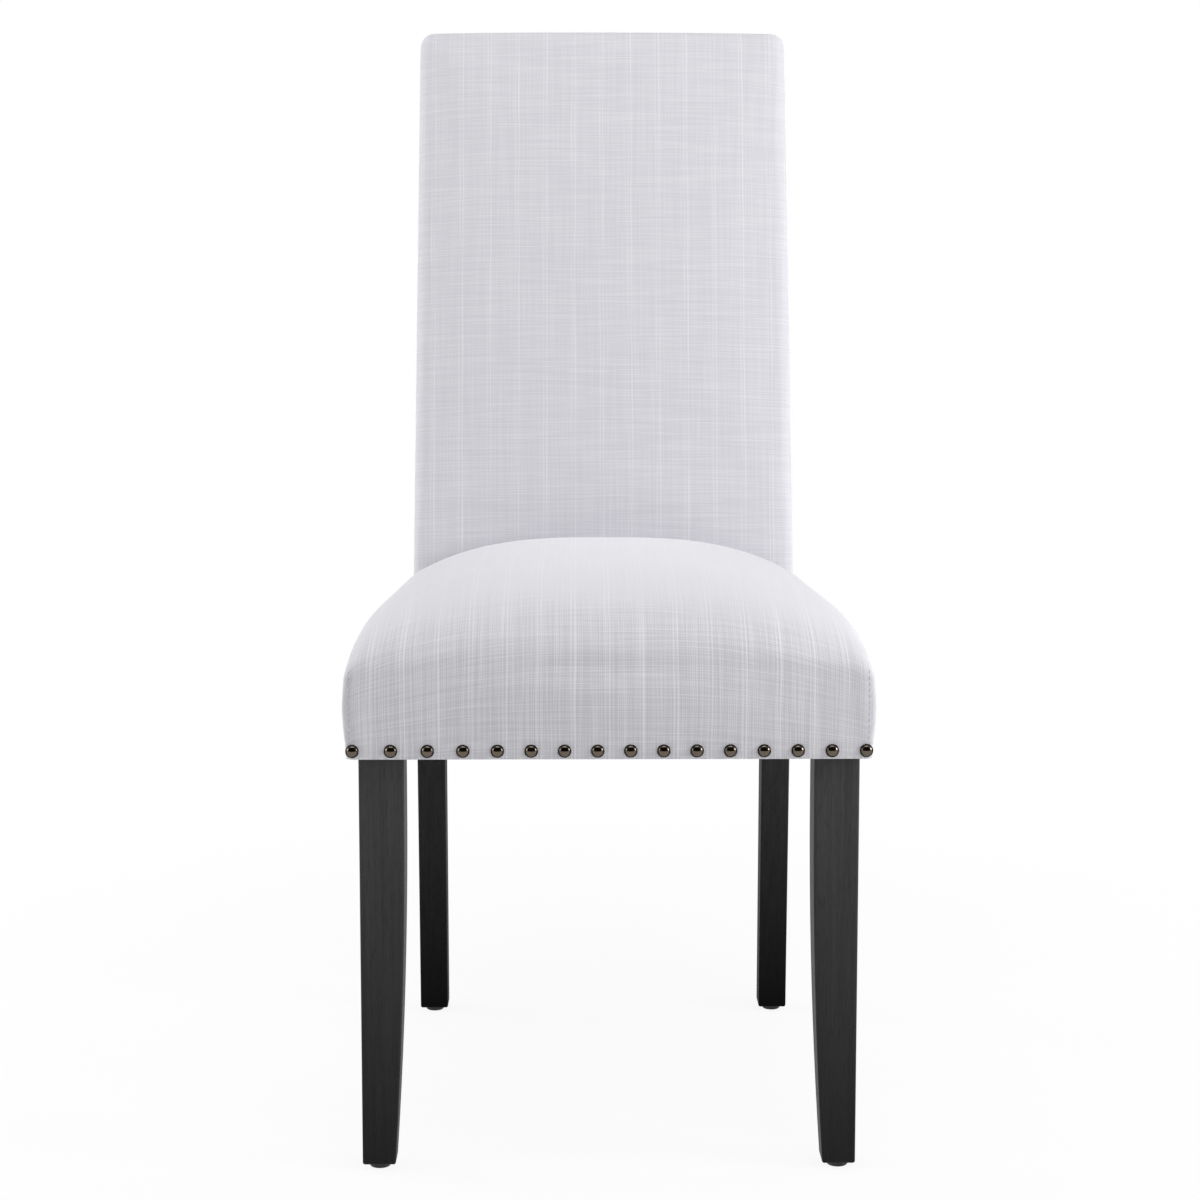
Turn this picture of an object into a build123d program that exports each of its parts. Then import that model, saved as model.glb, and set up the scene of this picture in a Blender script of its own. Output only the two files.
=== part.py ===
from build123d import *

import math
import os

# Upholstered dining chair: a crowned seat box on two tapered front legs, bolted to a leaning
# padded back whose posts run down as the rear legs.
# Millimetres and degrees. X runs across the chair, Y from the seat front to the back, Z up.

# Fits
soft_gap = 0.3              # round every soft piece
pin_clearance = 0.05        # round dowels, nails, screws and bolts, on the radius
seam_gap = 0.2              # between the two parts of the back cover

# Seat, over its cover
seat_front_width = 440.0
seat_rear_step = 3.0        # seat past the back on each side, at its rear
seat_depth = 430.0
seat_underside = 356.0      # floor to the underside of the cover
cover_thickness = 2.0       # linen with its backing
cover_turn_in = 22.0        # how far the cover is turned under the rails
side_band = 20.0            # straight foot of the sides, where the nails sit
side_fullness = 2.5         # swell of the sides above that band
side_padding = 28.0         # height of the padding above the rails at the sides
seat_shoulder = 25.0        # radius of the rounded side edges
seat_crown = 28.0           # rise of the middle above those edges
front_shoulder = 14.0       # the same radius and rise at the seat front
front_crown = 6.0
front_roll_depth = 160.0    # how far back the rolled front reaches
front_roll_drop = 30.0      # how far the side edges fall at the front
rear_crown = 14.0
rear_roll_depth = 45.0
rear_roll_drop = 8.0

# Seat frame
rail_thickness = 20.0
rail_height = 58.0
deck_thickness = 9.0
deck_inset = 8.0            # from the outside of the rails
block_thickness = 22.0
block_height = 46.0
rear_block_offset = 24.0    # frame corner to the face of a rear corner block
dowel_diameter = 8.0
dowel_length = 28.0
dowel_rail_depth = 12.0     # depth in the rail that the dowel meets face on
dowel_pitch = 26.0
dust_cover_thickness = 1.0
dust_cover_inset = 13.0     # from the outside of the seat cover

# Front legs
leg_size = 38.0
leg_foot_size = 28.0
leg_setback = 11.0          # from the front and the side of the seat cover
leg_taper_start = 46.0      # below the seat's underside
leg_edge_radius = 2.0
leg_chamfer = 9.0           # flat on the hidden inner corner, for the bolts
stub_headroom = 4.0         # stub top to the deck
leg_fit = 0.2               # between the stub and the rails

# Back posts, which are also the rear legs
back_width = 381.0          # over the cover, at the seat
back_narrowing = 4.0        # how far each side comes in towards the top
post_width = 28.0
post_depth = 44.0           # at the seat
post_top_depth = 32.0
post_foot_depth = 30.0
rear_rake = 27.0            # how far the rear feet stand behind the seat joint
bend_height = 73.0          # seat's underside to the bend of the posts
back_lean = 12.5
back_length = 586.0         # bend to the top of the cover, along the back

# Back frame and padding
back_rail_thickness = 17.0
back_rail_height = 58.0
bottom_rail_thickness = 26.0
bottom_rail_height = 72.0
middle_rail_rise = 265.0    # bend to the middle of the middle rail
panel_recess = 8.0          # post face to the face of the hardboard
panel_thickness = 4.0
foam_edge = 14.0            # foam in front of the posts
foam_start = 20.0           # bend to the foot of the foam
top_padding = 9.0
back_crown = 9.0            # rise of the middle of the back
top_crown = 3.0             # the same rise at the top edge
crown_run = 170.0           # length over which it falls towards the top
back_shoulder = 15.0        # radius of the front edges
foot_shoulder = 3.0         # the same radius behind the seat, close round the posts
back_fullness = 0.8
back_band = 6.0             # straight rear edge of the sides
top_roll = 10.0             # radius of the top edge
board_thickness = 3.0
wadding_thickness = 4.0
rear_panel_margin = 8.0     # outside back to the edges of the back

# Fasteners
nail_head_diameter = 11.0
nail_head_height = 3.6
nail_shank_diameter = 1.8
nail_shank_length = 12.0
nail_height = 7.3           # above the seat's underside
nail_edge = 7.0             # first nail to the corner
front_nail_count = 16
front_nail_drift = 63.0     # the hand-set row opens up towards its left end
side_nail_pitch = 29.0
screw_diameter = 4.0
screw_head_diameter = 8.0
screw_head_height = 3.0
deck_screw_length = 30.0
deck_screw_gap = 30.0       # seat bolts to the deck screws on the front and the rear rail
block_screw_length = 30.0
block_screw_cover = 12.0    # wood left under a corner block screw's head
hanger_diameter = 6.0
hanger_tip = 3.0            # bolt end past the nut
hanger_grip = 22.0          # length in the leg
hanger_draw_gap = 1.5       # between leg and corner block
hanger_pitch = 24.0
hanger_washer_diameter = 16.0
hanger_washer_thickness = 1.5
hanger_nut_width = 10.0
hanger_nut_height = 5.0
bolt_diameter = 8.0
bolt_head_width = 13.0
bolt_head_height = 5.5
bolt_block_gap = 17.0       # rear corner blocks to the seat bolts
bolt_pitch = 26.0
bolt_washer_diameter = 20.0
bolt_washer_thickness = 1.6
insert_diameter = 12.0
insert_length = 20.0
bolt_tip_gap = 1.0
staple_crown = 10.0
staple_leg = 8.0
staple_wire = 1.0
staple_inset = 17.0         # from the outside of the seat cover
staples_per_rail = 4
panel_staples_per_rail = 4
glide_diameter = 18.0
glide_height = 5.0
glide_edge_radius = 1.5
glide_nail_diameter = 2.2
glide_nail_length = 14.0

# Worked out from the sizes above
cover_room = cover_thickness + soft_gap
rail_low = seat_underside + cover_room
rail_top = rail_low + rail_height
deck_top = rail_top + deck_thickness
seat_edge = rail_top + side_padding
seat_rear_width = back_width + 2 * seat_rear_step
side_slope = (seat_front_width - seat_rear_width) / 2 / seat_depth
side_stretch = math.hypot(1.0, side_slope)
post_face = seat_depth + soft_gap + cover_room
post_outer = back_width / 2 - cover_room
post_inner = post_outer - post_width
back_slope = back_narrowing / back_length
bend_z = seat_underside + bend_height
lean_sin = math.sin(math.radians(back_lean))
lean_cos = math.cos(math.radians(back_lean))
half_bend = math.tan(math.radians(back_lean / 2))
wood_length = back_length - top_padding - cover_room
back_rail_face = panel_recess + panel_thickness
bottom_rail_top = rail_low + bottom_rail_height
back_front = cover_room + soft_gap + foam_edge
pad_ramp = (back_front + back_crown - cover_room) / math.tan(math.radians(back_lean))
rear_frame_face = seat_depth - cover_room - rail_thickness


def plan_prism(points, low, high):
    """Upright prism over a plan polygon."""
    return extrude(Pos(0, 0, low) * make_face(Polyline(*points, close=True)), high - low, (0, 0, 1))


def side_prism(points, left, right):
    """Prism across the chair over a polygon of (y, z) points."""
    face = Plane.YZ * make_face(Polyline(*points, close=True))
    return extrude(Pos(left, 0, 0) * face, right - left, (1, 0, 0))


def rod(start, axis, diameter, length):
    """Round bar from a point along an axis."""
    bar = Cylinder(diameter / 2, length, align=(Align.CENTER, Align.CENTER, Align.MIN))
    return Plane(origin=start, z_dir=axis) * bar


def bore(start, axis, diameter, length):
    """Hole for a rod of that diameter."""
    return rod(start, axis, diameter + 2 * pin_clearance, length)


def ring(start, axis, outer, inner, length):
    """Washer or threaded insert round a bolt."""
    return rod(start, axis, outer, length) - bore(start, axis, inner, length)


def hexagon(start, axis, width, length):
    """Hexagon bar of a given width across its flats."""
    face = RegularPolygon(width / 2, 6, major_radius=False)
    return Plane(origin=start, z_dir=axis) * extrude(face, length)


def mirrored(solid):
    """The same piece on the other side of the chair."""
    return mirror(solid, about=Plane.YZ)


def both_sides(solids):
    """A group of solids and their mirror images."""
    near = list(solids)
    return near + [mirrored(solid) for solid in near]


def crowned_face(plane, half_width, base, band, edge, shoulder, crown, fullness):
    """Padded section: flat base, swelling sides, rounded shoulders and a crowned top."""
    run = half_width - shoulder
    top = edge + shoulder + crown
    turn = math.pi / 2
    if crown > 0:
        crown_radius = (run ** 2 + (shoulder + crown) ** 2 - shoulder ** 2) / (2 * crown)
        turn = math.acos(run / (crown_radius - shoulder))

    def on_shoulder(side, angle):
        return (side * (run + shoulder * math.cos(angle)), edge + shoulder * math.sin(angle))

    def flank(side):
        foot = (side * half_width, base)
        knee = (side * half_width, band)
        rim = (side * half_width, edge)
        swell = (side * (half_width + fullness), (band + edge) / 2)
        return [
            Line(foot, knee),
            ThreePointArc(knee, swell, rim),
            ThreePointArc(rim, on_shoulder(side, turn / 2), on_shoulder(side, turn)),
        ]

    right, left = on_shoulder(1, turn), on_shoulder(-1, turn)
    cap = ThreePointArc(right, (0, top), left) if crown > 0 else Line(right, left)
    outline = [Line((-half_width, base), (half_width, base))] + flank(1) + [cap] + flank(-1)
    return plane * make_face(outline)


def roll_fall(distance, depth):
    """Share of a rolled edge's fall that is left at a distance from the end."""
    reach = max(0.0, 1.0 - distance / depth)
    return 1.0 - math.sqrt(1.0 - reach ** 2)


def seat_half_width(y, inset=0.0):
    """Half width of the tapering seat at a depth, drawn in square to its sides."""
    return seat_front_width / 2 - side_slope * y - inset * side_stretch


def seat_plan(inset, front, rear):
    """Plan of the tapering seat between two depths."""
    front_half, rear_half = seat_half_width(front, inset), seat_half_width(rear, inset)
    return [(-front_half, front), (front_half, front), (rear_half, rear), (-rear_half, rear)]


def seat_section(y, inset):
    """Section across the seat at a depth of its outside, drawn in by the inset."""
    front = roll_fall(y, front_roll_depth)
    rear = roll_fall(seat_depth - y, rear_roll_depth)
    place = inset + y * (seat_depth - 2 * inset) / seat_depth
    plane = Plane(origin=(0, place, 0), x_dir=(1, 0, 0), z_dir=(0, -1, 0))
    return crowned_face(
        plane,
        half_width=seat_half_width(y, inset),
        base=seat_underside + inset,
        band=seat_underside + side_band,
        edge=seat_edge - front_roll_drop * front - rear_roll_drop * rear,
        shoulder=seat_shoulder - (seat_shoulder - front_shoulder) * front - inset,
        crown=seat_crown - (seat_crown - front_crown) * front - (seat_crown - rear_crown) * rear,
        fullness=side_fullness,
    )


def seat_form(inset):
    """The padded seat as one body, drawn in from the outside of its cover."""
    front_steps = [front_roll_depth * (1 - math.cos(math.radians(a))) for a in (0, 12, 24, 40, 58, 75, 90)]
    rear_steps = [rear_roll_depth * (1 - math.cos(math.radians(a))) for a in (90, 65, 45, 25, 0)]
    depths = front_steps + [seat_depth - step for step in rear_steps]
    return loft([seat_section(y, inset) for y in depths], ruled=True)


def lean_point(along, behind):
    """Point (y, z) on the leaning part of the back: along it from the bend, behind the post face."""
    y = post_face + along * lean_sin + behind * lean_cos
    return (y, bend_z + along * lean_cos - behind * lean_sin)


def bend_point(behind):
    """Point (y, z) on the bend, behind the post face."""
    return (post_face + behind, bend_z - behind * half_bend)


def depth_at(along):
    """Depth of the posts at a distance above the bend."""
    return post_depth + (post_top_depth - post_depth) * along / wood_length


def back_half_width(along, inset):
    """Half width of the back, which narrows above the bend, drawn in by the inset."""
    return back_width / 2 - back_slope * max(0.0, along) - inset


def back_prism(inset):
    """Straight body with the outline of the back as seen square on, drawn in by the inset."""
    low, top = -2 * back_length, back_length
    half, top_half = back_half_width(0.0, inset), back_half_width(top, inset)
    outline = [(-half, low), (half, low), (half, 0), (top_half, top), (-top_half, top), (-half, 0)]
    plane = Plane(origin=(0, post_face, bend_z), x_dir=(1, 0, 0), z_dir=(0, -lean_cos, lean_sin))
    return extrude(plane * make_face(Polyline(*outline, close=True)), back_length, both=True)


def back_layer(near, far, low, top):
    """Side view of a layer behind the posts, between two distances from their rear face."""
    def line(offset):
        foot = (post_face + post_depth + offset, low)
        return [foot, bend_point(post_depth + offset), lean_point(top, depth_at(top) + offset)]
    return line(near) + line(far)[::-1]


def lean_box(half_width, low, high, near, far):
    """Straight piece of the leaning back, between two heights along it and two depths."""
    corners = [lean_point(low, near), lean_point(low, far), lean_point(high, far), lean_point(high, near)]
    return side_prism(corners, -half_width, half_width)


def back_section(along, inset, extra):
    """Section across the leaning back, drawn in by the inset and, near the top, by an extra inset."""
    ramp = min(1.0, max(0.0, along) / pad_ramp)
    fall = roll_fall(back_length - inset - along, crown_run)
    crown = ramp * (back_crown - (back_crown - top_crown) * fall)
    tilt = back_lean if along > 0 else back_lean / 2
    stretch = 1.0 if along > 0 else 1.0 / math.cos(math.radians(tilt))
    y, z = lean_point(along, 0.0)
    normal = (0, math.sin(math.radians(tilt)), math.cos(math.radians(tilt)))
    rear = depth_at(along) + board_thickness + wadding_thickness + 2 * soft_gap + cover_room
    front = cover_room + (back_front - cover_room) * ramp
    shoulder = foot_shoulder + (back_shoulder - foot_shoulder) * ramp
    drawn = inset + extra
    return crowned_face(
        Plane(origin=(0, y, z), x_dir=(-1, 0, 0), z_dir=normal),
        half_width=back_half_width(along, drawn),
        base=(drawn - rear) * stretch,
        band=(drawn + back_band - rear) * stretch,
        edge=front - shoulder,
        shoulder=shoulder - drawn,
        crown=crown,
        fullness=back_fullness,
    )


def back_foot_section(inset):
    """Level section across the foot of the back, behind the seat."""
    rear = post_depth + board_thickness + wadding_thickness + 2 * soft_gap + cover_room
    return crowned_face(
        Plane(origin=(0, post_face, seat_underside + inset), x_dir=(-1, 0, 0), z_dir=(0, 0, 1)),
        half_width=back_width / 2 - inset,
        base=inset - rear,
        band=inset + back_band - rear,
        edge=cover_room - foot_shoulder,
        shoulder=foot_shoulder - inset,
        crown=0.0,
        fullness=back_fullness,
    )


def back_form(inset):
    """The padded back as one body, drawn in from the outside of its cover."""
    faces = [back_foot_section(inset), back_section(0.0, inset, 0.0)]
    top = back_length - inset
    crown_steps = [top - crown_run * (1 - math.cos(math.radians(a))) for a in (90, 65, 45)]
    for along in [pad_ramp] + crown_steps:
        faces.append(back_section(along, inset, 0.0))
    for angle in (0, 25, 50, 75):
        sine, cosine = math.sin(math.radians(angle)), math.cos(math.radians(angle))
        faces.append(back_section(top - top_roll * (1 - sine), inset, top_roll * (1 - cosine)))
    return loft(faces, ruled=True)


# Places of the fasteners

def dowel_levels():
    """Heights of the seat frame's dowels."""
    middle = rail_low + rail_height / 2
    return [middle - dowel_pitch / 2, middle + dowel_pitch / 2]


def rail_dowel_places():
    """Start of each dowel on the right of the seat frame."""
    inset = cover_room + rail_thickness / 2
    places = []
    for face, step in ((cover_room + rail_thickness, -dowel_rail_depth),
                       (rear_frame_face, dowel_rail_depth - dowel_length)):
        places += [(seat_half_width(face, inset), face + step, z) for z in dowel_levels()]
    return places


def back_dowel_places():
    """Start of each dowel on the right of the back frame."""
    grain = dowel_length - dowel_rail_depth
    places = []
    y = post_face + bottom_rail_thickness / 2
    middle = rail_low + bottom_rail_height / 2
    places += [(post_inner - grain, y, middle + s * dowel_pitch / 2) for s in (-1, 1)]
    for rise in back_rail_rises():
        for s in (-1, 1):
            point = lean_point(rise + s * dowel_pitch / 2, back_rail_face + back_rail_thickness / 2)
            places.append((post_inner - grain,) + point)
    return places


def back_rail_rises():
    """Heights along the back of the middle rail and the top rail, to their middles."""
    return [middle_rail_rise, wood_length - back_rail_height / 2]


def front_nail_places():
    """Centres of the front nails, in a hand-set row that opens up towards the left."""
    span = seat_front_width - 2 * nail_edge
    places = []
    for index in range(front_nail_count):
        share = index / (front_nail_count - 1)
        x = -span / 2 + span * share + front_nail_drift * share * (1 - share) ** 3
        places.append((x, 0.0, seat_underside + nail_height))
    return places


def side_nail_places():
    """Centres of the nails on the right side of the seat."""
    count = int((seat_depth - 2 * side_nail_pitch) / side_nail_pitch) + 1
    depths = [nail_edge + side_nail_pitch * (index + 1) for index in range(count)]
    return [(seat_half_width(y), y, seat_underside + nail_height) for y in depths]


side_outward = (1 / side_stretch, side_slope / side_stretch, 0)
front_outward = (0, -1, 0)


def shank_holes(places, outward):
    """Holes for the nails of one row."""
    inward = tuple(-part for part in outward)
    return [bore(place, inward, nail_shank_diameter, nail_shank_length + seam_gap) for place in places]


def deck_screw_places():
    """Heads of the deck screws, two over each rail."""
    line = cover_room + (deck_inset + rail_thickness) / 2
    rear = seat_depth - line
    quarter = (rear - line) / 4
    spread = seat_bolt_spread() - deck_screw_gap
    places = [(s * spread, y, deck_top) for y in (line, rear) for s in (-1, 1)]
    for y in (line + quarter, rear - quarter):
        places += [(s * seat_half_width(y, line), y, deck_top) for s in (-1, 1)]
    return places


def screw(head, axis, length, slack=0.0):
    """Wood screw with its head's top at a point, or with slack the hole that it makes."""
    radius = screw_diameter / 2 + slack
    head_radius = screw_head_diameter / 2 + slack
    outline = [(0, 0), (head_radius, 0), (head_radius, screw_head_height / 3),
               (radius, screw_head_height), (radius, length + slack), (0, length + slack)]
    body = revolve(Plane.XZ * make_face(Polyline(*outline, close=True)), Axis.Z)
    return Plane(origin=head, z_dir=axis) * body


def corner_axis():
    """Unit direction from a seat corner's leg towards the middle of the frame, on the left."""
    return (math.sqrt(0.5), math.sqrt(0.5), 0.0)


def stub_corner():
    """Inner corner of the left leg's stub."""
    return (leg_setback + leg_size - seat_front_width / 2, leg_setback + leg_size)


def corner_point(along, z):
    """Point on the left leg's bolt line, along it from the stub's inner corner."""
    x, y = stub_corner()
    dx, dy, _ = corner_axis()
    return (x + along * dx, y + along * dy, z)


leg_flat = -leg_chamfer / math.sqrt(2)
block_face = leg_flat + hanger_draw_gap
block_back = block_face + block_thickness


def hanger_levels():
    """Heights of the two bolts of a front leg."""
    middle = rail_low + rail_height / 2
    return [middle - hanger_pitch / 2, middle + hanger_pitch / 2]


def seat_bolt_spread():
    """Distance of the seat bolts from the middle plane, clear of the rear corner blocks."""
    inner_corner = seat_half_width(rear_frame_face, cover_room + rail_thickness)
    block_reach = math.sqrt(2) * (rear_block_offset + block_thickness)
    return inner_corner - block_reach - bolt_block_gap


def seat_bolt_places():
    """Points on the rear rail's inner face where the seat bolts pass."""
    spread, middle = seat_bolt_spread(), rail_low + rail_height / 2
    return [(side * spread, rear_frame_face, middle + level * bolt_pitch / 2)
            for side in (-1, 1) for level in (-1, 1)]


bolt_reach = rail_thickness + cover_room + soft_gap + cover_room


def seat_bolt_holes():
    """Holes for the seat bolts through the rear rail and both covers."""
    return [bore(place, (0, 1, 0), bolt_diameter, bolt_reach) for place in seat_bolt_places()]


def staple_places():
    """Middles of the dust cover's staples, with the direction of each crown."""
    line = staple_inset
    step = 1.0 / staples_per_rail
    clear = leg_setback + leg_size + staple_crown
    places = []
    for index in range(staples_per_rail):
        share = (index + 0.5) * step
        front_run = seat_front_width - 2 * clear
        places.append(((share - 0.5) * front_run, line, (1, 0, 0)))
        rear_run = seat_rear_width - 2 * clear
        places.append(((share - 0.5) * rear_run, seat_depth - line, (1, 0, 0)))
        y = clear + share * (seat_depth - clear - 2 * line)
        for side in (-1, 1):
            places.append((side * seat_half_width(y, line), y, (side * -side_slope, 1, 0)))
    return places


def staple(middle, along, into, slack=0.0):
    """Wire staple: a crown on the surface and two legs, or with slack the room that it takes."""
    plane = Plane(origin=middle, x_dir=along, z_dir=into)
    width = staple_wire + 2 * slack
    low = (Align.CENTER, Align.CENTER, Align.MIN)
    crown = Box(staple_crown + 2 * slack, width, staple_wire, align=low)
    reach = (staple_crown - staple_wire) / 2
    leg = Box(width, width, staple_leg + slack, align=low)
    return plane * (crown + [Pos(s * reach, 0, staple_wire) * leg for s in (-1, 1)])


def dust_staple_solids(slack=0.0):
    """All staples of the dust cover."""
    level = seat_underside - dust_cover_thickness - staple_wire
    return [staple((x, y, level), along, (0, 0, 1), slack) for x, y, along in staple_places()]


def panel_staple_solids(slack=0.0):
    """Staples that hold the hardboard to the middle and the top rail."""
    solids = []
    run = 2 * post_inner - 4 * staple_crown
    for rise in back_rail_rises():
        for index in range(panel_staples_per_rail):
            x = ((index + 0.5) / panel_staples_per_rail - 0.5) * run
            y, z = lean_point(rise, panel_recess - staple_wire)
            solids.append(staple((x, y, z), (1, 0, 0), (0, lean_cos, -lean_sin), slack))
    return solids


# Seat frame

def front_rail():
    """Front rail over the full width, its ends cut to the taper of the seat."""
    rail = plan_prism(seat_plan(cover_room, cover_room, cover_room + rail_thickness), rail_low, rail_top)
    return rail - frame_holes() - shank_holes(front_nail_places(), front_outward)


def rear_rail():
    """Rear rail, which the back is bolted to."""
    rail = plan_prism(seat_plan(cover_room, rear_frame_face, seat_depth - cover_room), rail_low, rail_top)
    return rail - frame_holes() - seat_bolt_holes()


def right_side_rail():
    """Side rail between the front and the rear rail."""
    front, rear = cover_room + rail_thickness, rear_frame_face
    inner = cover_room + rail_thickness
    plan = [(seat_half_width(front, inner), front), (seat_half_width(front, cover_room), front),
            (seat_half_width(rear, cover_room), rear), (seat_half_width(rear, inner), rear)]
    rail = plan_prism(plan, rail_low, rail_top)
    return rail - frame_holes() - shank_holes(side_nail_places(), side_outward)


def frame_holes():
    """Holes in the rails for dowels, screws and staples."""
    dowels = [bore(place, (0, 1, 0), dowel_diameter, dowel_length) for place in rail_dowel_places()]
    screws = deck_screws(pin_clearance) + block_screws(pin_clearance)
    return both_sides(dowels) + screws + dust_staple_solids(pin_clearance)


def rail_dowels():
    """Dowels of the four frame corners."""
    return both_sides(rod(place, (0, 1, 0), dowel_diameter, dowel_length) for place in rail_dowel_places())


def corner_slab(point, axis, thickness, height):
    """Upright slab square to a corner's diagonal, wider than the frame."""
    reach = seat_front_width
    slab = Box(reach, height, thickness, align=(Align.CENTER, Align.CENTER, Align.MIN))
    return Plane(origin=point, x_dir=(-axis[1], axis[0], 0), z_dir=axis) * slab


def frame_room():
    """Space inside the seat frame."""
    inner = cover_room + rail_thickness
    return plan_prism(seat_plan(inner, inner, rear_frame_face), rail_low, rail_top)


def front_left_block():
    """Corner block that the left leg is bolted to."""
    middle = rail_low + rail_height / 2
    slab = corner_slab(corner_point(block_face, middle), corner_axis(), block_thickness, block_height)
    holes = [bore(corner_point(block_face, z), corner_axis(), hanger_diameter, block_thickness)
             for z in hanger_levels()]
    return (frame_room() & slab) - holes - block_screws(pin_clearance)


def rear_left_axis():
    """Unit direction from the rear left frame corner towards the middle of the frame."""
    return (math.sqrt(0.5), -math.sqrt(0.5), 0.0)


def rear_left_point(along):
    """Point on the rear left corner's diagonal, along it from the frame's inner corner."""
    inner = cover_room + rail_thickness
    dx, dy, _ = rear_left_axis()
    x = -seat_half_width(rear_frame_face, inner)
    return (x + along * dx, rear_frame_face + along * dy, rail_low + rail_height / 2)


def rear_left_block():
    """Corner block of the rear left frame corner."""
    slab = corner_slab(rear_left_point(rear_block_offset), rear_left_axis(), block_thickness, block_height)
    return (frame_room() & slab) - block_screws(pin_clearance)


def block_screws(slack=0.0):
    """One screw from each corner block into each of its two rails, or the holes for them."""
    middle = rail_low + rail_height / 2
    frame_front = cover_room + rail_thickness
    inward = (-side_outward[0], -side_outward[1], 0)
    diagonal = math.sqrt(2)
    centre = (block_face + block_back) / 2
    corner_x, corner_y, _ = corner_point(centre, middle)
    front_x = corner_x + (corner_y - frame_front)
    rear_x, rear_y, _ = rear_left_point(0.0)
    rear_reach = diagonal * (rear_block_offset + block_thickness / 2)
    side_y = corner_y + (corner_x + seat_half_width(corner_y, cover_room + rail_thickness))
    side_front = (-seat_half_width(side_y, frame_front), side_y)
    side_rear = (-seat_half_width(rear_y - rear_reach, frame_front), rear_y - rear_reach)
    screws = []
    for point, axis in (((front_x, frame_front), (0, -1, 0)), ((rear_x + rear_reach, rear_y), (0, 1, 0)),
                        (side_front, inward), (side_rear, inward)):
        turned = axis if axis[0] == 0 else (axis[0], -axis[1], 0)
        head = (point[0] - turned[0] * block_screw_cover, point[1] - turned[1] * block_screw_cover, middle)
        screws.append(screw(head, turned, block_screw_length, slack))
        if slack:
            back = tuple(-part for part in turned)
            screws.append(rod(head, back, screw_head_diameter + 2 * slack, block_thickness))
    return both_sides(screws)


def seat_deck():
    """Plywood that carries the foam, set in from the rails' outside."""
    edge = cover_room + deck_inset
    deck = plan_prism(seat_plan(edge, edge, seat_depth - edge), rail_top, deck_top)
    return deck - deck_screws(pin_clearance)


def deck_screws(slack=0.0):
    """Screws of the deck, flush with its top, or with slack the holes for them."""
    return [screw(place, (0, 0, -1), deck_screw_length, slack) for place in deck_screw_places()]


def seat_foam():
    """Crowned foam over the deck and down its edges to the rails."""
    edge = cover_room + deck_inset - soft_gap
    below = plan_prism(seat_plan(-seat_depth, -seat_depth, 2 * seat_depth), 0, rail_top + soft_gap)
    deck = plan_prism(seat_plan(edge, edge, seat_depth - edge), 0, deck_top + soft_gap)
    return seat_form(cover_room) - below - deck


def seat_cover():
    """Cover of the seat, turned under the rails and open for the legs, nails and bolts."""
    shell = seat_form(0.0) - seat_form(cover_thickness)
    mouth = plan_prism(seat_plan(cover_turn_in, cover_turn_in, seat_depth - cover_turn_in), 0, rail_low)
    nails = shank_holes(front_nail_places(), front_outward)
    nails += both_sides(shank_holes(side_nail_places(), side_outward))
    legs = both_sides([leg_room(seat_underside - cover_room, rail_low)])
    return shell - mouth - nails - legs - seat_bolt_holes() - dust_staple_solids(pin_clearance)


def dust_cover():
    """Black cloth under the seat, cut out round the legs."""
    inset = dust_cover_inset
    plan = seat_plan(inset, inset, seat_depth - inset)
    cloth = plan_prism(plan, seat_underside - dust_cover_thickness, seat_underside)
    legs = both_sides([leg_room(seat_underside - 2 * cover_room, rail_low)])
    return cloth - legs - dust_staple_solids(pin_clearance)


# Front legs

def leg_room(low, high):
    """Room for the left leg where it passes the covers."""
    x, y = stub_corner()
    gap = soft_gap
    plan = [(x - leg_size - gap, y - leg_size - gap), (x + gap, y - leg_size - gap),
            (x + gap, y + gap), (x - leg_size - gap, y + gap)]
    return plan_prism(plan, low, high)


def leg_outline(top):
    """Outer face straight, inner face curving in towards the foot: (inward, z)."""
    knee = (leg_size, seat_underside - leg_taper_start)
    foot = (leg_foot_size, glide_height)
    return make_face([
        Line((0, top), (leg_size, top)),
        Line((leg_size, top), knee),
        TangentArc(knee, foot, tangent=(0, -1)),
        Line(foot, (0, glide_height)),
        Line((0, glide_height), (0, top)),
    ])


def left_front_leg():
    """Tapered leg whose stub is notched into the corner of the seat frame."""
    top = rail_top - stub_headroom
    outline = leg_outline(top)
    across = extrude(Plane.XZ * outline, leg_size, (0, 1, 0))
    along = extrude(Plane.YZ * outline, leg_size, (1, 0, 0))
    leg = across & along
    uprights = [edge for edge in leg.edges() if edge.bounding_box().size.Z > leg_size]
    leg = fillet(uprights, leg_edge_radius)
    leg = fillet(leg.faces().sort_by(Axis.Z)[0].edges(), leg_edge_radius)
    x, y = stub_corner()
    leg = Pos(x - leg_size, y - leg_size, 0) * leg
    return leg - leg_notches(top) - leg_holes()


def leg_notches(top):
    """Wood cut away where the rails stand on the leg, and the flat for the bolts."""
    low = rail_low - leg_fit
    inner = cover_room + rail_thickness + leg_fit
    outside = plan_prism(seat_plan(-seat_depth, -seat_depth, 2 * seat_depth), low, top + leg_size)
    room = plan_prism(seat_plan(inner, inner, seat_depth), low, top + leg_size)
    flat = corner_slab(corner_point(leg_flat, top), corner_axis(), leg_size, 2 * rail_height)
    stub_zone = plan_prism(seat_plan(0, 0, seat_depth), low, top + leg_size)
    return [outside - room, flat & stub_zone]


def leg_holes():
    """Holes in the leg for the bolts and for the glide's nail."""
    back = tuple(-part for part in corner_axis())
    holes = [bore(corner_point(leg_flat, z), back, hanger_diameter, hanger_grip) for z in hanger_levels()]
    return holes + [glide_hole(front_foot())]


def front_foot():
    """Middle of the left front foot."""
    x, y = stub_corner()
    return (x - leg_size + leg_foot_size / 2, y - leg_size + leg_foot_size / 2)


def hanger_stack():
    """Distances along the bolt line of the washer's face, the nut's face and the bolt's end."""
    washer = block_back
    nut = washer + hanger_washer_thickness
    return washer, nut, nut + hanger_nut_height + hanger_tip


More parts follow.
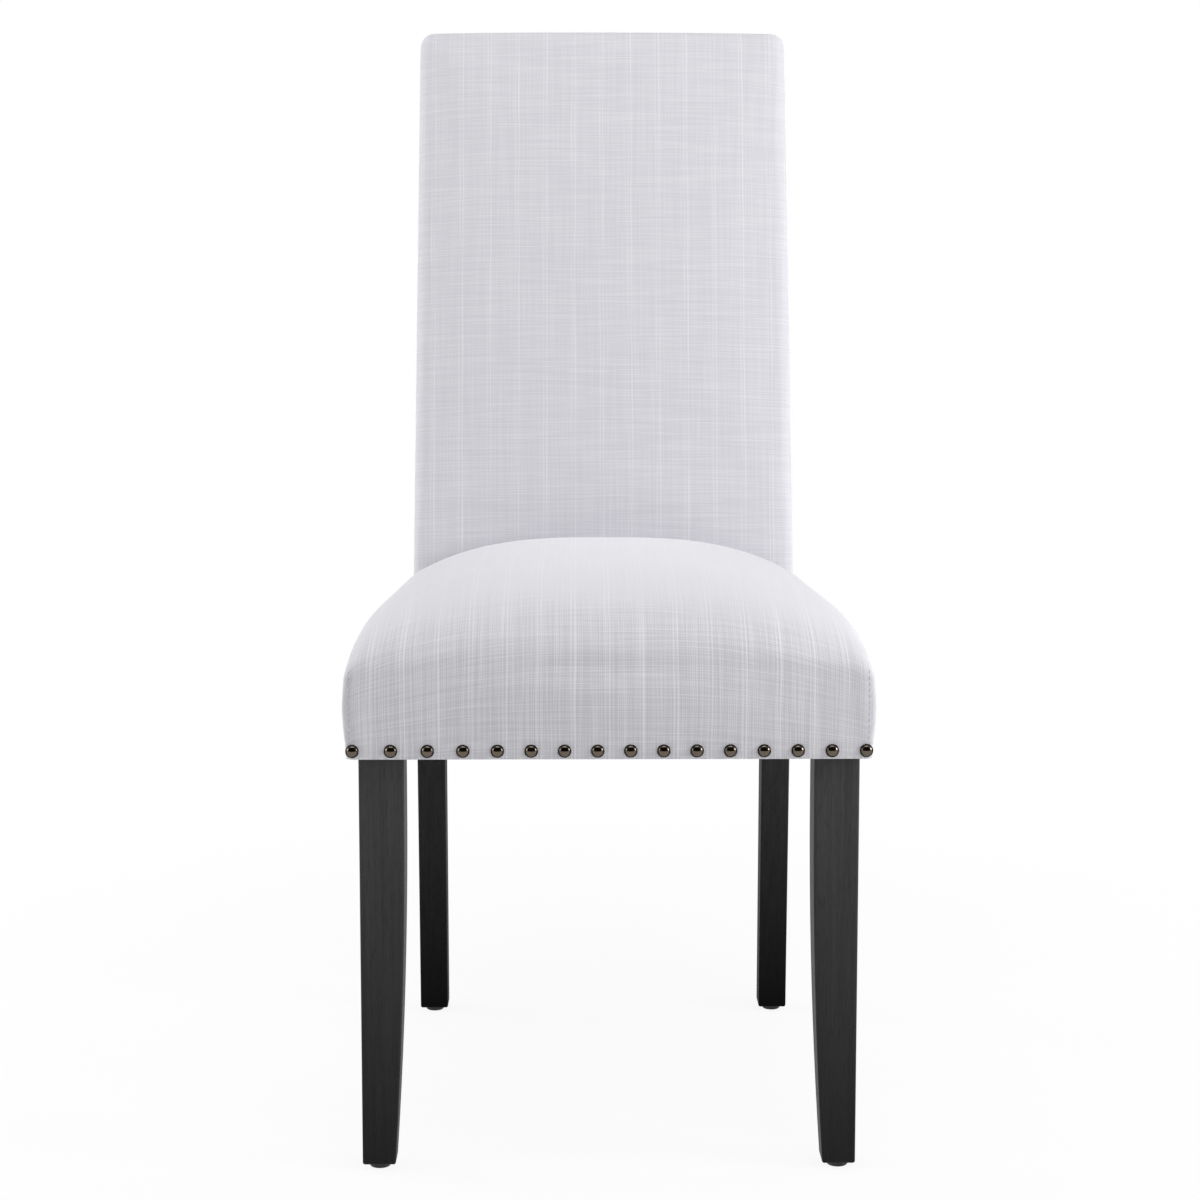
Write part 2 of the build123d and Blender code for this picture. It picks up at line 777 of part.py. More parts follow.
def hanger_bolts():
    """Bolts that hold the front legs to their corner blocks."""
    _, _, end = hanger_stack()
    start = leg_flat - hanger_grip
    return both_sides(rod(corner_point(start, z), corner_axis(), hanger_diameter, end - start)
                      for z in hanger_levels())


def hanger_bolt_washers():
    """Washers on the corner blocks."""
    face, _, _ = hanger_stack()
    return both_sides(ring(corner_point(face, z), corner_axis(), hanger_washer_diameter, hanger_diameter,
                           hanger_washer_thickness) for z in hanger_levels())


def hanger_bolt_nuts():
    """Hexagon nuts on the washers."""
    _, face, _ = hanger_stack()
    nuts = []
    for z in hanger_levels():
        place = corner_point(face, z)
        nut = hexagon(place, corner_axis(), hanger_nut_width, hanger_nut_height)
        nuts.append(nut - bore(place, corner_axis(), hanger_diameter, hanger_nut_height))
    return both_sides(nuts)


# Glides and nails

def glide(foot):
    """Nail-on glide with a flat underside, under the middle of a foot."""
    disc = rod((foot[0], foot[1], 0), (0, 0, 1), glide_diameter, glide_height)
    disc = fillet(disc.edges().group_by(Axis.Z)[0], glide_edge_radius)
    return disc + rod((foot[0], foot[1], glide_height), (0, 0, 1), glide_nail_diameter, glide_nail_length)


def glide_hole(foot):
    """Hole for a glide's nail."""
    return bore((foot[0], foot[1], 0), (0, 0, 1), glide_nail_diameter, glide_height + glide_nail_length)


def nail(place, outward):
    """Domed upholstery nail with its head against the cover."""
    rim, top = (nail_head_diameter / 2, 0), (0, nail_head_height)
    radius = (rim[0] ** 2 + nail_head_height ** 2) / (2 * nail_head_height)
    turn = math.asin(rim[0] / radius) / 2
    bulge = (radius * math.sin(turn), nail_head_height - radius * (1 - math.cos(turn)))
    dome = make_face([Line((0, 0), rim), ThreePointArc(rim, bulge, top), Line(top, (0, 0))])
    head = revolve(Plane.XZ * dome, Axis.Z)
    shank = rod((0, 0, 0), (0, 0, -1), nail_shank_diameter, nail_shank_length)
    return Plane(origin=place, z_dir=outward) * (head + shank)


# Back frame

def right_back_post():
    """Rear leg and back upright in one bent piece."""
    foot_y = post_face + rear_rake
    outline = [
        (foot_y, glide_height), (post_face, seat_underside), (post_face, bend_z), lean_point(wood_length, 0),
        lean_point(wood_length, post_top_depth), bend_point(post_depth),
        (post_face + post_depth, seat_underside), (foot_y + post_foot_depth, glide_height),
    ]
    post = side_prism(outline, post_inner, post_outer)
    below_seat = post.edges().filter_by(lambda edge: edge.bounding_box().max.Z < rail_low)
    uprights = [edge for edge in below_seat if edge.bounding_box().size.Z > leg_size]
    post = fillet(uprights, leg_edge_radius)
    post = fillet(post.faces().sort_by(Axis.Z)[0].edges(), leg_edge_radius)
    return (post & back_prism(cover_room)) - back_dowel_holes() - [glide_hole(rear_foot())]


def rear_foot():
    """Middle of the right rear foot."""
    return ((post_inner + post_outer) / 2, post_face + rear_rake + post_foot_depth / 2)


def back_dowel_holes():
    """Holes for the dowels of the right post."""
    return [bore(place, (1, 0, 0), dowel_diameter, dowel_length) for place in back_dowel_places()]


def back_rail_dowels():
    """Dowels between the posts and the three back rails."""
    return both_sides(rod(place, (1, 0, 0), dowel_diameter, dowel_length) for place in back_dowel_places())


def back_bottom_rail():
    """Rail between the posts that the seat bolts screw into."""
    near, far = post_face, post_face + bottom_rail_thickness
    section = [(near, rail_low), (far, rail_low), (far, bottom_rail_top), (near, bottom_rail_top)]
    rail = side_prism(section, -post_inner, post_inner)
    inserts = [rod((x, post_face, z), (0, 1, 0), insert_diameter + 2 * pin_clearance, insert_length)
               for x, _, z in seat_bolt_places()]
    return rail - both_sides(back_dowel_holes()) - inserts


def back_rail(rise):
    """Rail of the leaning back, with its middle at a height along the back."""
    half = back_rail_height / 2
    far = back_rail_face + back_rail_thickness
    rail = lean_box(post_inner, rise - half, rise + half, back_rail_face, far)
    return rail - both_sides(back_dowel_holes()) - panel_staple_solids(pin_clearance)


def panel_foot():
    """Height along the back where the hardboard clears the bottom rail."""
    return soft_gap + (back_rail_face * lean_sin + bottom_rail_top - bend_z) / lean_cos


def back_panel():
    """Hardboard in front of the back rails, between the posts."""
    panel = lean_box(post_inner - soft_gap, panel_foot(), wood_length, panel_recess, back_rail_face)
    return panel - panel_staple_solids(pin_clearance)


def back_foam():
    """Foam on the hardboard, over the front of the posts and over the top of the frame."""
    behind = post_depth + board_thickness + wadding_thickness + back_width
    padding = back_form(cover_room)
    frame = lean_box(back_width, -back_length, wood_length + soft_gap, -soft_gap, behind)
    foot = lean_box(back_width, -2 * back_length, foam_start, -back_width, behind)
    hollow = lean_box(post_inner - soft_gap, foam_start, wood_length, -soft_gap, panel_recess - soft_gap)
    staples = panel_staple_solids(pin_clearance)
    return (padding - frame - foot + hollow) - staples


def back_rear_board():
    """Hardboard across the back of the posts."""
    layer = back_layer(0, board_thickness, rail_low, wood_length)
    return side_prism(layer, -post_outer, post_outer) & back_prism(cover_room)


def back_rear_wadding():
    """Thin wadding between the rear board and the outside back."""
    near = board_thickness + soft_gap
    layer = back_layer(near, near + wadding_thickness, rail_low, wood_length)
    return side_prism(layer, -post_outer, post_outer) & back_prism(cover_room)


def rear_panel_region(slack):
    """Region of the back cover that is cut and sewn as the outside back."""
    outside = board_thickness + wadding_thickness + 2 * soft_gap + cover_room
    margin = rear_panel_margin - slack
    low = seat_underside + margin
    top = back_length - top_roll - margin
    layer = back_layer(outside - cover_room + soft_gap / 2, 2 * outside, low, top)
    return side_prism(layer, -back_width / 2, back_width / 2) & back_prism(margin)


def back_shell():
    """The whole back cover, open for the legs and the seat bolts."""
    shell = back_form(0.0) - back_form(cover_thickness)
    inner, outer = post_inner - soft_gap, post_outer + soft_gap
    front, rear = post_face - soft_gap, post_face + post_depth + soft_gap
    plan = [(inner, front), (outer, front), (outer, rear), (inner, rear)]
    legs = both_sides([plan_prism(plan, seat_underside - cover_room, rail_low)])
    return shell - legs - seat_bolt_holes()


def back_cover():
    """Front, sides, top and turned-in foot of the back cover."""
    return back_shell() - rear_panel_region(seam_gap)


def back_cover_rear_panel():
    """Outside back, sewn into the rest of the cover."""
    return back_shell() & rear_panel_region(0.0)


# Bolts between seat and back

def seat_bolts():
    """Hexagon bolts from inside the seat frame into the back."""
    length = bolt_washer_thickness + bolt_reach + insert_length - bolt_tip_gap
    bolts = []
    for x, y, z in seat_bolt_places():
        seat = (x, y - bolt_washer_thickness, z)
        head = hexagon(seat, (0, -1, 0), bolt_head_width, bolt_head_height)
        bolts.append(head + rod(seat, (0, 1, 0), bolt_diameter, length))
    return bolts


def seat_bolt_washers():
    """Washers under the bolt heads."""
    return [ring(place, (0, -1, 0), bolt_washer_diameter, bolt_diameter, bolt_washer_thickness)
            for place in seat_bolt_places()]


def seat_bolt_inserts():
    """Threaded inserts in the bottom rail of the back."""
    return [ring((x, post_face, z), (0, 1, 0), insert_diameter, bolt_diameter, insert_length)
            for x, _, z in seat_bolt_places()]


def chair_parts():
    """Every node of the chair with its solids, the seat front at Y 0."""
    middle_rise, top_rise = back_rail_rises()
    side_nails = [nail(place, side_outward) for place in side_nail_places()]
    side_rail, leg, post = right_side_rail(), left_front_leg(), right_back_post()
    return {
        "front_rail": [front_rail()],
        "rear_rail": [rear_rail()],
        "left_side_rail": [mirrored(side_rail)],
        "right_side_rail": [side_rail],
        "rail_dowels": rail_dowels(),
        "front_corner_blocks": both_sides([front_left_block()]),
        "rear_corner_blocks": both_sides([rear_left_block()]),
        "corner_block_screws": block_screws(),
        "seat_deck": [seat_deck()],
        "deck_screws": deck_screws(),
        "seat_foam": [seat_foam()],
        "seat_cover": [seat_cover()],
        "dust_cover": [dust_cover()],
        "dust_cover_staples": dust_staple_solids(),
        "front_nailheads": [nail(place, front_outward) for place in front_nail_places()],
        "left_side_nailheads": [mirrored(solid) for solid in side_nails],
        "right_side_nailheads": side_nails,
        "left_front_leg": [leg],
        "right_front_leg": [mirrored(leg)],
        "hanger_bolts": hanger_bolts(),
        "hanger_bolt_washers": hanger_bolt_washers(),
        "hanger_bolt_nuts": hanger_bolt_nuts(),
        "front_leg_glides": both_sides([glide(front_foot())]),
        "left_back_post": [mirrored(post)],
        "right_back_post": [post],
        "back_bottom_rail": [back_bottom_rail()],
        "back_middle_rail": [back_rail(middle_rise)],
        "back_top_rail": [back_rail(top_rise)],
        "back_rail_dowels": back_rail_dowels(),
        "back_panel": [back_panel()],
        "back_panel_staples": panel_staple_solids(),
        "back_foam": [back_foam()],
        "back_rear_board": [back_rear_board()],
        "back_rear_wadding": [back_rear_wadding()],
        "back_cover": [back_cover()],
        "back_cover_rear_panel": [back_cover_rear_panel()],
        "rear_leg_glides": both_sides([glide(rear_foot())]),
        "seat_bolts": seat_bolts(),
        "seat_bolt_washers": seat_bolt_washers(),
        "seat_bolt_inserts": seat_bolt_inserts(),
    }


def write_parts():
    """Move the chair so that its origin is on the floor under the middle of its box, and write it."""
    parts = chair_parts()
    boxes = [solid.bounding_box() for solids in parts.values() for solid in solids]
    middle = (min(box.min.Y for box in boxes) + max(box.max.Y for box in boxes)) / 2
    os.makedirs("parts", exist_ok=True)
    for name, solids in parts.items():
        bodies = [body for solid in solids for body in (Pos(0, -middle, 0) * solid).solids()]
        node = bodies[0] if len(bodies) == 1 else Compound(children=bodies)
        export_step(node, os.path.join("parts", name + ".step"))
        print(name, len(bodies), round(sum(body.volume for body in bodies)))


write_parts()
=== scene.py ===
"""Upholstered dining chair, dressed round its construction.

The seat and the back are padded forms covered with pale slub linen. The seat's cover is one cloth that
runs over the top and down the front, sewn up its two front corners. The back's cover wraps its sides and
top, and a separate outside back is sewn in behind. Legs, nails and everything inside are the frame's own.

Metres. X runs across the chair, Y from the seat front to the back, Z up.
"""

import logging
import math
from abc import ABC, abstractmethod
from collections.abc import Callable, Iterable
from dataclasses import dataclass
from enum import Enum
from functools import lru_cache, partial
from typing import Any

import bmesh
import bpy
import numpy as np
from bmesh.types import BMEdge, BMesh, BMFace, BMLayerItem, BMVert
from bpy.types import Material, Mesh, Node, NodeSocket, NodeTree, Object, World
from mathutils import Euler, Matrix, Vector


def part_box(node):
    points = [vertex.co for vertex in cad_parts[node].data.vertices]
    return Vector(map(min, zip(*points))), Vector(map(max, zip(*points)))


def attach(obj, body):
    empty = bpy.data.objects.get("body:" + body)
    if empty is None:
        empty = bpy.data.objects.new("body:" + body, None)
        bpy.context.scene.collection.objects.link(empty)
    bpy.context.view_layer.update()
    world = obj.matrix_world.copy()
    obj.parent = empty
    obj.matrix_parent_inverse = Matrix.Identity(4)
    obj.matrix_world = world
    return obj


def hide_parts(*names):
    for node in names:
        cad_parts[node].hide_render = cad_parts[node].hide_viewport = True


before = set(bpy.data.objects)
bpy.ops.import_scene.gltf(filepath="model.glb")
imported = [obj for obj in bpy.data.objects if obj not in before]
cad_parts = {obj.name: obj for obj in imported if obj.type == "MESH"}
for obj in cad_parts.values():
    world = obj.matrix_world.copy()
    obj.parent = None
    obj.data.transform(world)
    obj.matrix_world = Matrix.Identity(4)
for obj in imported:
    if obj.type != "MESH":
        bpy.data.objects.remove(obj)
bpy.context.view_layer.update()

log = logging.getLogger("dining_chair")

MM = 0.001
SAME_PLACE = 0.001 * MM
SAME_LEVEL = 0.01 * MM
MIRRORED = np.array([-1.0, 1.0, 1.0])
BODY = "root"
LINEN_SLOT = "upholstery_linen"
NAIL_NODES = ("front_nailheads", "left_side_nailheads", "right_side_nailheads")
# What the meshes call the map of flat cloth, a face's panel and the height on a nail's head.
WEAVE_MAP = "weave"
PANEL = "panel"
RISE = "rise"


class GrainAxis(Enum):
    """Direction of a wooden piece's grain."""

    ACROSS = 0
    DEEP = 1
    UP = 2


class Panel(Enum):
    """Side of a padded form, as it is cut from cloth."""

    LEFT = 0
    RIGHT = 1
    FRONT = 2
    REAR = 3
    LOW = 4
    TOP = 5


def linear(hex_code: str) -> tuple[float, float, float, float]:
    """Turn an sRGB hex value into a linear colour.

    Args:
        hex_code: Colour as "#RRGGBB".

    Returns:
        Red, green, blue and alpha, linear.
    """
    parts = [int(hex_code[place:place + 2], 16) / 255 for place in (1, 3, 5)]
    red, green, blue = (p / 12.92 if p <= 0.04045 else ((p + 0.055) / 1.055) ** 2.4 for p in parts)
    return red, green, blue, 1.0


def add_node(tree: NodeTree, kind: str, inputs: dict[Any, Any] | None = None,
             stops: tuple[tuple[float, str], ...] = (), **settings: Any) -> Node:
    """Add a shader node with its settings, constants and links.

    Args:
        tree: Node tree that gets the node.
        kind: Blender's name of the node's type, after "ShaderNode".
        inputs: Value, linked socket or linked node, whose first output counts, by input name or number.
        stops: Places and colours of a colour ramp, in rising order.
        settings: Properties of the node.

    Returns:
        The new node.
    """
    node = tree.nodes.new("ShaderNode" + kind)
    for name, value in settings.items():
        setattr(node, name, value)
    for key, value in (inputs or {}).items():
        source = value.outputs[0] if isinstance(value, Node) else value
        if isinstance(source, NodeSocket):
            tree.links.new(source, node.inputs[key])
        else:
            node.inputs[key].default_value = source
    for element, (place, colour) in zip(node.color_ramp.elements if stops else (), (*stops[:1], *stops[-1:])):
        element.position = place
        element.color = linear(colour)
    for place, colour in stops[1:-1]:
        node.color_ramp.elements.new(place).color = linear(colour)
    return node


AddNode = Callable[..., Node]


def fresh_nodes(owner: Material | World) -> AddNode:
    """Clear away the nodes of a material or world.

    Args:
        owner: The material or world.

    Returns:
        Function that adds a node to it.
    """
    owner.use_nodes = True
    owner.node_tree.nodes.clear()
    return partial(add_node, owner.node_tree)


class Finish(ABC):
    """A surface finish that makes its own material."""

    name: str

    @abstractmethod
    def paint(self, add: AddNode) -> dict[str, Any]:
        """Add the finish's nodes.

        Args:
            add: Function that adds a node to the material.

        Returns:
            Value or linked node for each input of the Principled shader that the finish sets.
        """


@lru_cache(maxsize=None)
def material_of(finish: Finish) -> Material:
    """Make a finish's material, once.

    Args:
        finish: The finish.

    Returns:
        Its material.
    """
    material = bpy.data.materials.new(finish.name)
    add = fresh_nodes(material)
    add("OutputMaterial", {"Surface": add("BsdfPrincipled", finish.paint(add))})
    return material


@dataclass(frozen=True)
class SlubLinen(Finish):
    """Plain-woven linen-look cloth with slub yarns, piece-dyed off-white.

    The eye gets a fine cross-hatch, thicker pale warp yarns at a steady spacing, and short thick
    places along the weft, all matt, with a little light caught in the fibre ends.
    """

    name: str = "slub_linen"
    # Colour of the hollows between the yarns and of thin places: painted shade in the hollows.
    hollow_shade: str = "#D3D2D8"
    yarn: str = "#DCDBE0"
    # Colour of the raised yarns and slubs: paler yarn with a painted highlight.
    raised_highlight: str = "#EAE9ED"
    hollow_height: float = 0.05
    yarn_height: float = 0.4
    warp_share: float = 0.26
    weft_share: float = 0.40
    cross_share: float = 0.06
    slub_share: float = 0.44
    # The real yarns are about 0.8 mm apart. They are drawn coarser, or the render would not show them.
    thread: float = 2.3 * MM
    yarn_width: float = 0.75 * MM
    warp_run: float = 130.0 * MM
    weft_run: float = 85.0 * MM
    yarn_edge: tuple[float, float] = (0.40, 0.68)
    # A turn of the drawn-out noise staggers neighbouring yarns, which would else swell side by side.
    stagger: float = 0.45
    slub_pitch: float = 28.3 * MM
    slub_twin: float = 3.4 * MM
    slub_width: float = 1.0 * MM
    twin_strength: float = 0.6
    slub_edge: tuple[float, float] = (0.34, 0.62)
    slub_least: float = 0.5
    drift_size: float = 60.0 * MM
    drift: float = 1.6 * MM
    relief: float = 0.14 * MM
    relief_strength: float = 0.8
    # Where the cloth starts to lie flat and where it is flattest, along its map, and what is left there.
    flattened: tuple[float, float, float] = (0.0, 1.0, 1.0)
    roughness: float = 0.92
    specular: float = 0.25
    sheen: float = 0.18
    sheen_roughness: float = 0.55

    def paint(self, add: AddNode) -> dict[str, Any]:
        """Weave the cloth on the piece's own map, which is in metres of flat cloth.

        Args:
            add: Function that adds a node to the material.

        Returns:
            Inputs of the shader.
        """
        cloth = add("UVMap", uv_map=WEAVE_MAP)
        wander = add("TexNoise", {"Vector": cloth, "Scale": 1 / self.drift_size, "Detail": 1.0})
        centred = add("VectorMath", {0: wander.outputs["Color"], 1: (0.5, 0.5, 0.5)}, operation="SUBTRACT")
        shift = add("VectorMath", {0: centred, "Scale": self.drift}, operation="SCALE")
        place = add("VectorMath", {0: cloth, 1: shift}, operation="ADD")
        split = add("SeparateXYZ", {0: place})
        across, along = split.outputs["X"], split.outputs["Y"]
        waves = [add("Math", {0: add("Math", {0: way, 1: 2 * math.pi / self.thread}, operation="MULTIPLY")},
                     operation="SINE") for way in (across, along)]
        patterns = (
            (self.yarns(add, place, self.yarn_width, self.warp_run), self.warp_share),
            (self.yarns(add, place, self.weft_run, self.yarn_width), self.weft_share),
            (add("Math", {0: waves[0], 1: waves[1]}, operation="MULTIPLY"), self.cross_share),
            (self.warp_slubs(add, place, across), self.slub_share),
        )
        woven: Any = 0.0
        for pattern, share in patterns:
            woven = add("Math", {0: pattern, 1: share, 2: woven}, operation="MULTIPLY_ADD")
        start, end, left = self.flattened
        stand = add("MapRange", {"Value": along, "From Min": start, "From Max": end, "To Min": 1.0,
                                 "To Max": left}, interpolation_type="SMOOTHSTEP")
        over = add("Math", {0: woven, 1: self.yarn_height}, operation="SUBTRACT")
        height = add("Math", {0: over, 1: stand, 2: self.yarn_height}, operation="MULTIPLY_ADD")
        # The colour follows the weave's height: painted shade in the hollows, painted highlight on the raised
        # yarns.
        tones = ((self.hollow_height, self.hollow_shade), (self.yarn_height, self.yarn), (1.0, self.raised_highlight))
        return {"Base Color": add("ValToRGB", {"Fac": height}, tones),
                "Normal": add("Bump", {"Height": height, "Strength": self.relief_strength,
                                       "Distance": self.relief}),
                "Roughness": self.roughness, "Specular IOR Level": self.specular,
                "Sheen Weight": self.sheen, "Sheen Roughness": self.sheen_roughness}

    def streaks(self, add: AddNode, place: Node, across: float, along: float) -> Node:
        """Yarns of uneven thickness, as noise drawn out over the flat cloth.

        Args:
            add: Function that adds a node to the material.
            place: Point on the flat cloth.
            across: Size of a yarn across the cloth.
            along: Its size along the cloth.

        Returns:
            The noise, about 0 to 1.
        """
        scaled = add("Mapping", {"Vector": place, "Scale": (1 / across, 1 / along, 1.0),
                                 "Rotation": (0.0, 0.0, self.stagger)})
        return add("TexNoise", {"Vector": scaled, "Scale": 1.0, "Detail": 1.0}, noise_dimensions="2D")

    def yarns(self, add: AddNode, place: Node, across: float, along: float) -> Node:
        """Thin pale yarns that stand out of the cloth.

        Args:
            add: Function that adds a node to the material.
            place: Point on the flat cloth.
            across: Size of a yarn across the cloth.
            along: Its size along the cloth.

        Returns:
            How far a yarn stands out, 0 to 1.
        """
        low, high = self.yarn_edge
        return add("MapRange", {"Value": self.streaks(add, place, across, along), "From Min": low,
                                "From Max": high}, interpolation_type="SMOOTHSTEP")

    def warp_slubs(self, add: AddNode, place: Node, across: NodeSocket) -> Node:
        """Pairs of thick warp yarns at a steady spacing, stronger and weaker along their run.

        Args:
            add: Function that adds a node to the material.
            place: Point on the flat cloth.
            across: Distance across the cloth.

        Returns:
            Strength of the slubs, 0 to 1.
        """
        edge = self.slub_width / self.slub_pitch
        lines = []
        for offset, strength in ((0.0, 1.0), (self.slub_twin, self.twin_strength)):
            phase = add("Math", {0: across, 1: 1 / self.slub_pitch, 2: 0.5 + offset / self.slub_pitch},
                        operation="MULTIPLY_ADD")
            part = add("Math", {0: phase}, operation="FRACT")
            away = add("Math", {0: part, 1: 0.5}, operation="SUBTRACT")
            near = add("Math", {0: away}, operation="ABSOLUTE")
            lines.append(add("MapRange", {"Value": near, "From Min": edge / 4, "From Max": edge,
                                          "To Min": strength, "To Max": 0.0},
                             interpolation_type="SMOOTHSTEP"))
        both = add("Math", {0: lines[0], 1: lines[1]}, operation="MAXIMUM")
        run = self.streaks(add, place, self.slub_pitch / 3, self.warp_run)
        low, high = self.slub_edge
        gate = add("MapRange", {"Value": run, "From Min": low, "From Max": high, "To Min": self.slub_least,
                                "To Max": 1.0})
        return add("Math", {0: both, 1: gate}, operation="MULTIPLY")


@dataclass(frozen=True)
class GrainedWood(Finish):
    """Solid wood cut along the grain: long uneven fibres and short dark pores."""

    name: str
    dark: str
    light: str
    axis: GrainAxis
    roughness: tuple[float, float] = (0.55, 0.7)
    fibre: float = 3.0 * MM
    fibre_run: float = 150.0 * MM
    fibre_detail: float = 4.0
    pore: float = 0.9 * MM
    pore_run: float = 16.0 * MM
    pore_detail: float = 1.0
    pore_edge: tuple[float, float] = (0.56, 0.72)
    pore_depth: float = 0.45
    waviness: float = 0.4
    tone_range: tuple[float, float] = (0.22, 0.72)
    relief: float = 0.15 * MM
    relief_strength: float = 0.6
    specular: float = 0.5
    # Painted shade: share of the colour taken away at the foot, fading out up to the given rise.
    foot_shade: float = 0.0
    foot_shade_rise: float = 330.0 * MM

    def paint(self, add: AddNode) -> dict[str, Any]:
        """Run fibres and pores along the piece's grain, with painted shade that darkens the colour towards
        the foot.

        Args:
            add: Function that adds a node to the material.

        Returns:
            Inputs of the shader.
        """
        place = add("TexCoord").outputs["Object"]
        fibres = self.drawn_out(add, place, self.fibre, self.fibre_run, self.fibre_detail)
        pores = self.drawn_out(add, place, self.pore, self.pore_run, self.pore_detail)
        closed, opened = self.pore_edge
        open_pores = add("MapRange", {"Value": pores, "From Min": closed, "From Max": opened})
        tone = add("Math", {0: open_pores, 1: -self.pore_depth, 2: fibres}, operation="MULTIPLY_ADD",
                   use_clamp=True)
        deep, bright = self.tone_range
        colour = add("ValToRGB", {"Fac": tone}, ((deep, self.dark), (bright, self.light)))
        height = add("SeparateXYZ", {0: place}).outputs["Z"]
        # Painted shade: the colour darkens towards the foot.
        foot_shading = add("MapRange", {"Value": height, "From Min": 0.0, "From Max": self.foot_shade_rise,
                                 "To Min": 1 - self.foot_shade, "To Max": 1.0})
        smooth, rough = self.roughness
        return {"Base Color": add("VectorMath", {0: colour, "Scale": foot_shading}, operation="SCALE"),
                "Roughness": add("MapRange", {"Value": tone, "To Min": rough, "To Max": smooth}),
                "Normal": add("Bump", {"Height": tone, "Strength": self.relief_strength,
                                       "Distance": self.relief}),
                "Specular IOR Level": self.specular}

    def drawn_out(self, add: AddNode, place: NodeSocket, width: float, run: float, detail: float) -> Node:
        """Noise drawn out along the grain.

        Args:
            add: Function that adds a node to the material.
            place: Point on the piece.
            width: Size of a fibre across the grain.
            run: Its length.
            detail: Octaves of the noise.

        Returns:
            The noise, about 0 to 1.
        """
        scale = [1 / width] * 3
        scale[self.axis.value] = 1 / run
        drawn = add("Mapping", {"Vector": place, "Scale": scale})
        return add("TexNoise", {"Vector": drawn, "Scale": 1.0, "Detail": detail, "Distortion": self.waviness})


@dataclass(frozen=True)
class Speckled(Finish):
    """Material with a fine even speckle, such as foam, hardboard, felted cloth or moulded plastic."""

    name: str
    dark: str
    light: str
    grit: float
    roughness: float
    relief: float
    relief_strength: float = 0.6
    tone_range: tuple[float, float] = (0.3, 0.7)

    def paint(self, add: AddNode) -> dict[str, Any]:
        """Speckle the surface at the size of its grit.

        Args:
            add: Function that adds a node to the material.

        Returns:
            Inputs of the shader.
        """
        place = add("TexCoord").outputs["Object"]
        grit = add("TexNoise", {"Vector": place, "Scale": 1 / self.grit, "Detail": 3.0})
        low, high = self.tone_range
        return {"Base Color": add("ValToRGB", {"Fac": grit}, ((low, self.dark), (high, self.light))),
                "Normal": add("Bump", {"Height": grit, "Strength": self.relief_strength,
                                       "Distance": self.relief}),
                "Roughness": self.roughness}


@dataclass(frozen=True)
class AgedBronze(Finish):
    """Antique bronze: polished on top of each dome, dark with patina and painted shade where it meets the
    cloth.
    """

    name: str = "aged_bronze"
    patina_and_shade: str = "#120F0D"
    worn: str = "#71675C"
    tarnish: str = "#5F554A"
    cloud: float = 3.0 * MM
    patina_and_shade_rise: tuple[float, float] = (0.40, 0.70)
    roughness: tuple[float, float] = (0.13, 0.34)

    def paint(self, add: AddNode) -> dict[str, Any]:
        """Lay the patina and painted shade round the rim and clouds of tarnish over the dome.

        Args:
            add: Function that adds a node to the material.

        Returns:
            Inputs of the shader.
        """
        rise = add("Attribute", attribute_name=RISE).outputs["Fac"]
        low, high = self.patina_and_shade_rise
        # Patina and painted shade darken the head near the cloth, by how far up it lies.
        clear = add("MapRange", {"Value": rise, "From Min": low, "From Max": high},
                    interpolation_type="SMOOTHSTEP")
        place = add("TexCoord").outputs["Object"]
        cloud = add("TexNoise", {"Vector": place, "Scale": 1 / self.cloud, "Detail": 3.0})
        tone = add("Mix", {"Factor": cloud, "A": linear(self.tarnish), "B": linear(self.worn)},
                   data_type="RGBA")
        skin = add("Mix", {"Factor": clear, "A": linear(self.patina_and_shade), "B": tone.outputs["Result"]},
                   data_type="RGBA")
        smooth, rough = self.roughness
        return {"Base Color": skin.outputs["Result"],
                "Roughness": add("MapRange", {"Value": clear, "To Min": rough, "To Max": smooth}),
                "Metallic": 1.0}


@dataclass(frozen=True)
class PlatedMetal(Finish):
    """Plated metal with an uneven plating: clouds of a second tone and of duller gloss."""

    name: str
    deep: str
    bright: str
    cloud: float
    roughness: tuple[float, float]
    tone_range: tuple[float, float] = (0.35, 0.65)
    gloss_range: tuple[float, float] = (0.3, 0.7)

    def paint(self, add: AddNode) -> dict[str, Any]:
        """Cloud the plating.

        Args:
            add: Function that adds a node to the material.

        Returns:
            Inputs of the shader.
        """
        place = add("TexCoord").outputs["Object"]
        cloud = add("TexNoise", {"Vector": place, "Scale": 1 / self.cloud, "Detail": 4.0})
        low, high = self.tone_range
        dull, clear = self.gloss_range
        smooth, rough = self.roughness
        return {"Base Color": add("ValToRGB", {"Fac": cloud}, ((low, self.deep), (high, self.bright))),
                "Roughness": add("MapRange", {"Value": cloud, "From Min": dull, "From Max": clear,
                                              "To Min": rough, "To Max": smooth}),
                "Metallic": 1.0}


# Linen-look polyester, woven and piece-dyed: matt, with slubs that catch the light.
LINEN = SlubLinen()
# The same cloth on the seat, its warp weighted more and its tones further apart: stronger painted shade in
# the hollows and painted highlight on the raised yarns, pressed flat on top.
SEAT_LINEN = SlubLinen("slub_linen_seat_painted_shade", hollow_shade="#CCCBD1", yarn="#DEDDE2", raised_highlight="#EFEEF2",
                       warp_share=0.36, weft_share=0.30, slub_share=0.54, flattened=(-0.45, -0.36, 0.18))
# Polyester sewing thread, twisted: a touch greyer than the cloth.
SEAM_THREAD = Speckled("seam_thread", "#B7B7BD", "#CCCCD1", 0.4 * MM, 0.8, 0.1 * MM)
# Rubberwood, stained black under satin lacquer: faint grain in a soft gloss, with painted shade towards the
# feet.
STAINED_LEG = GrainedWood("black_stained_wood", "#3D3C3C", "#494848", GrainAxis.UP, (0.45, 0.6),
                          specular=0.13, foot_shade=0.8)
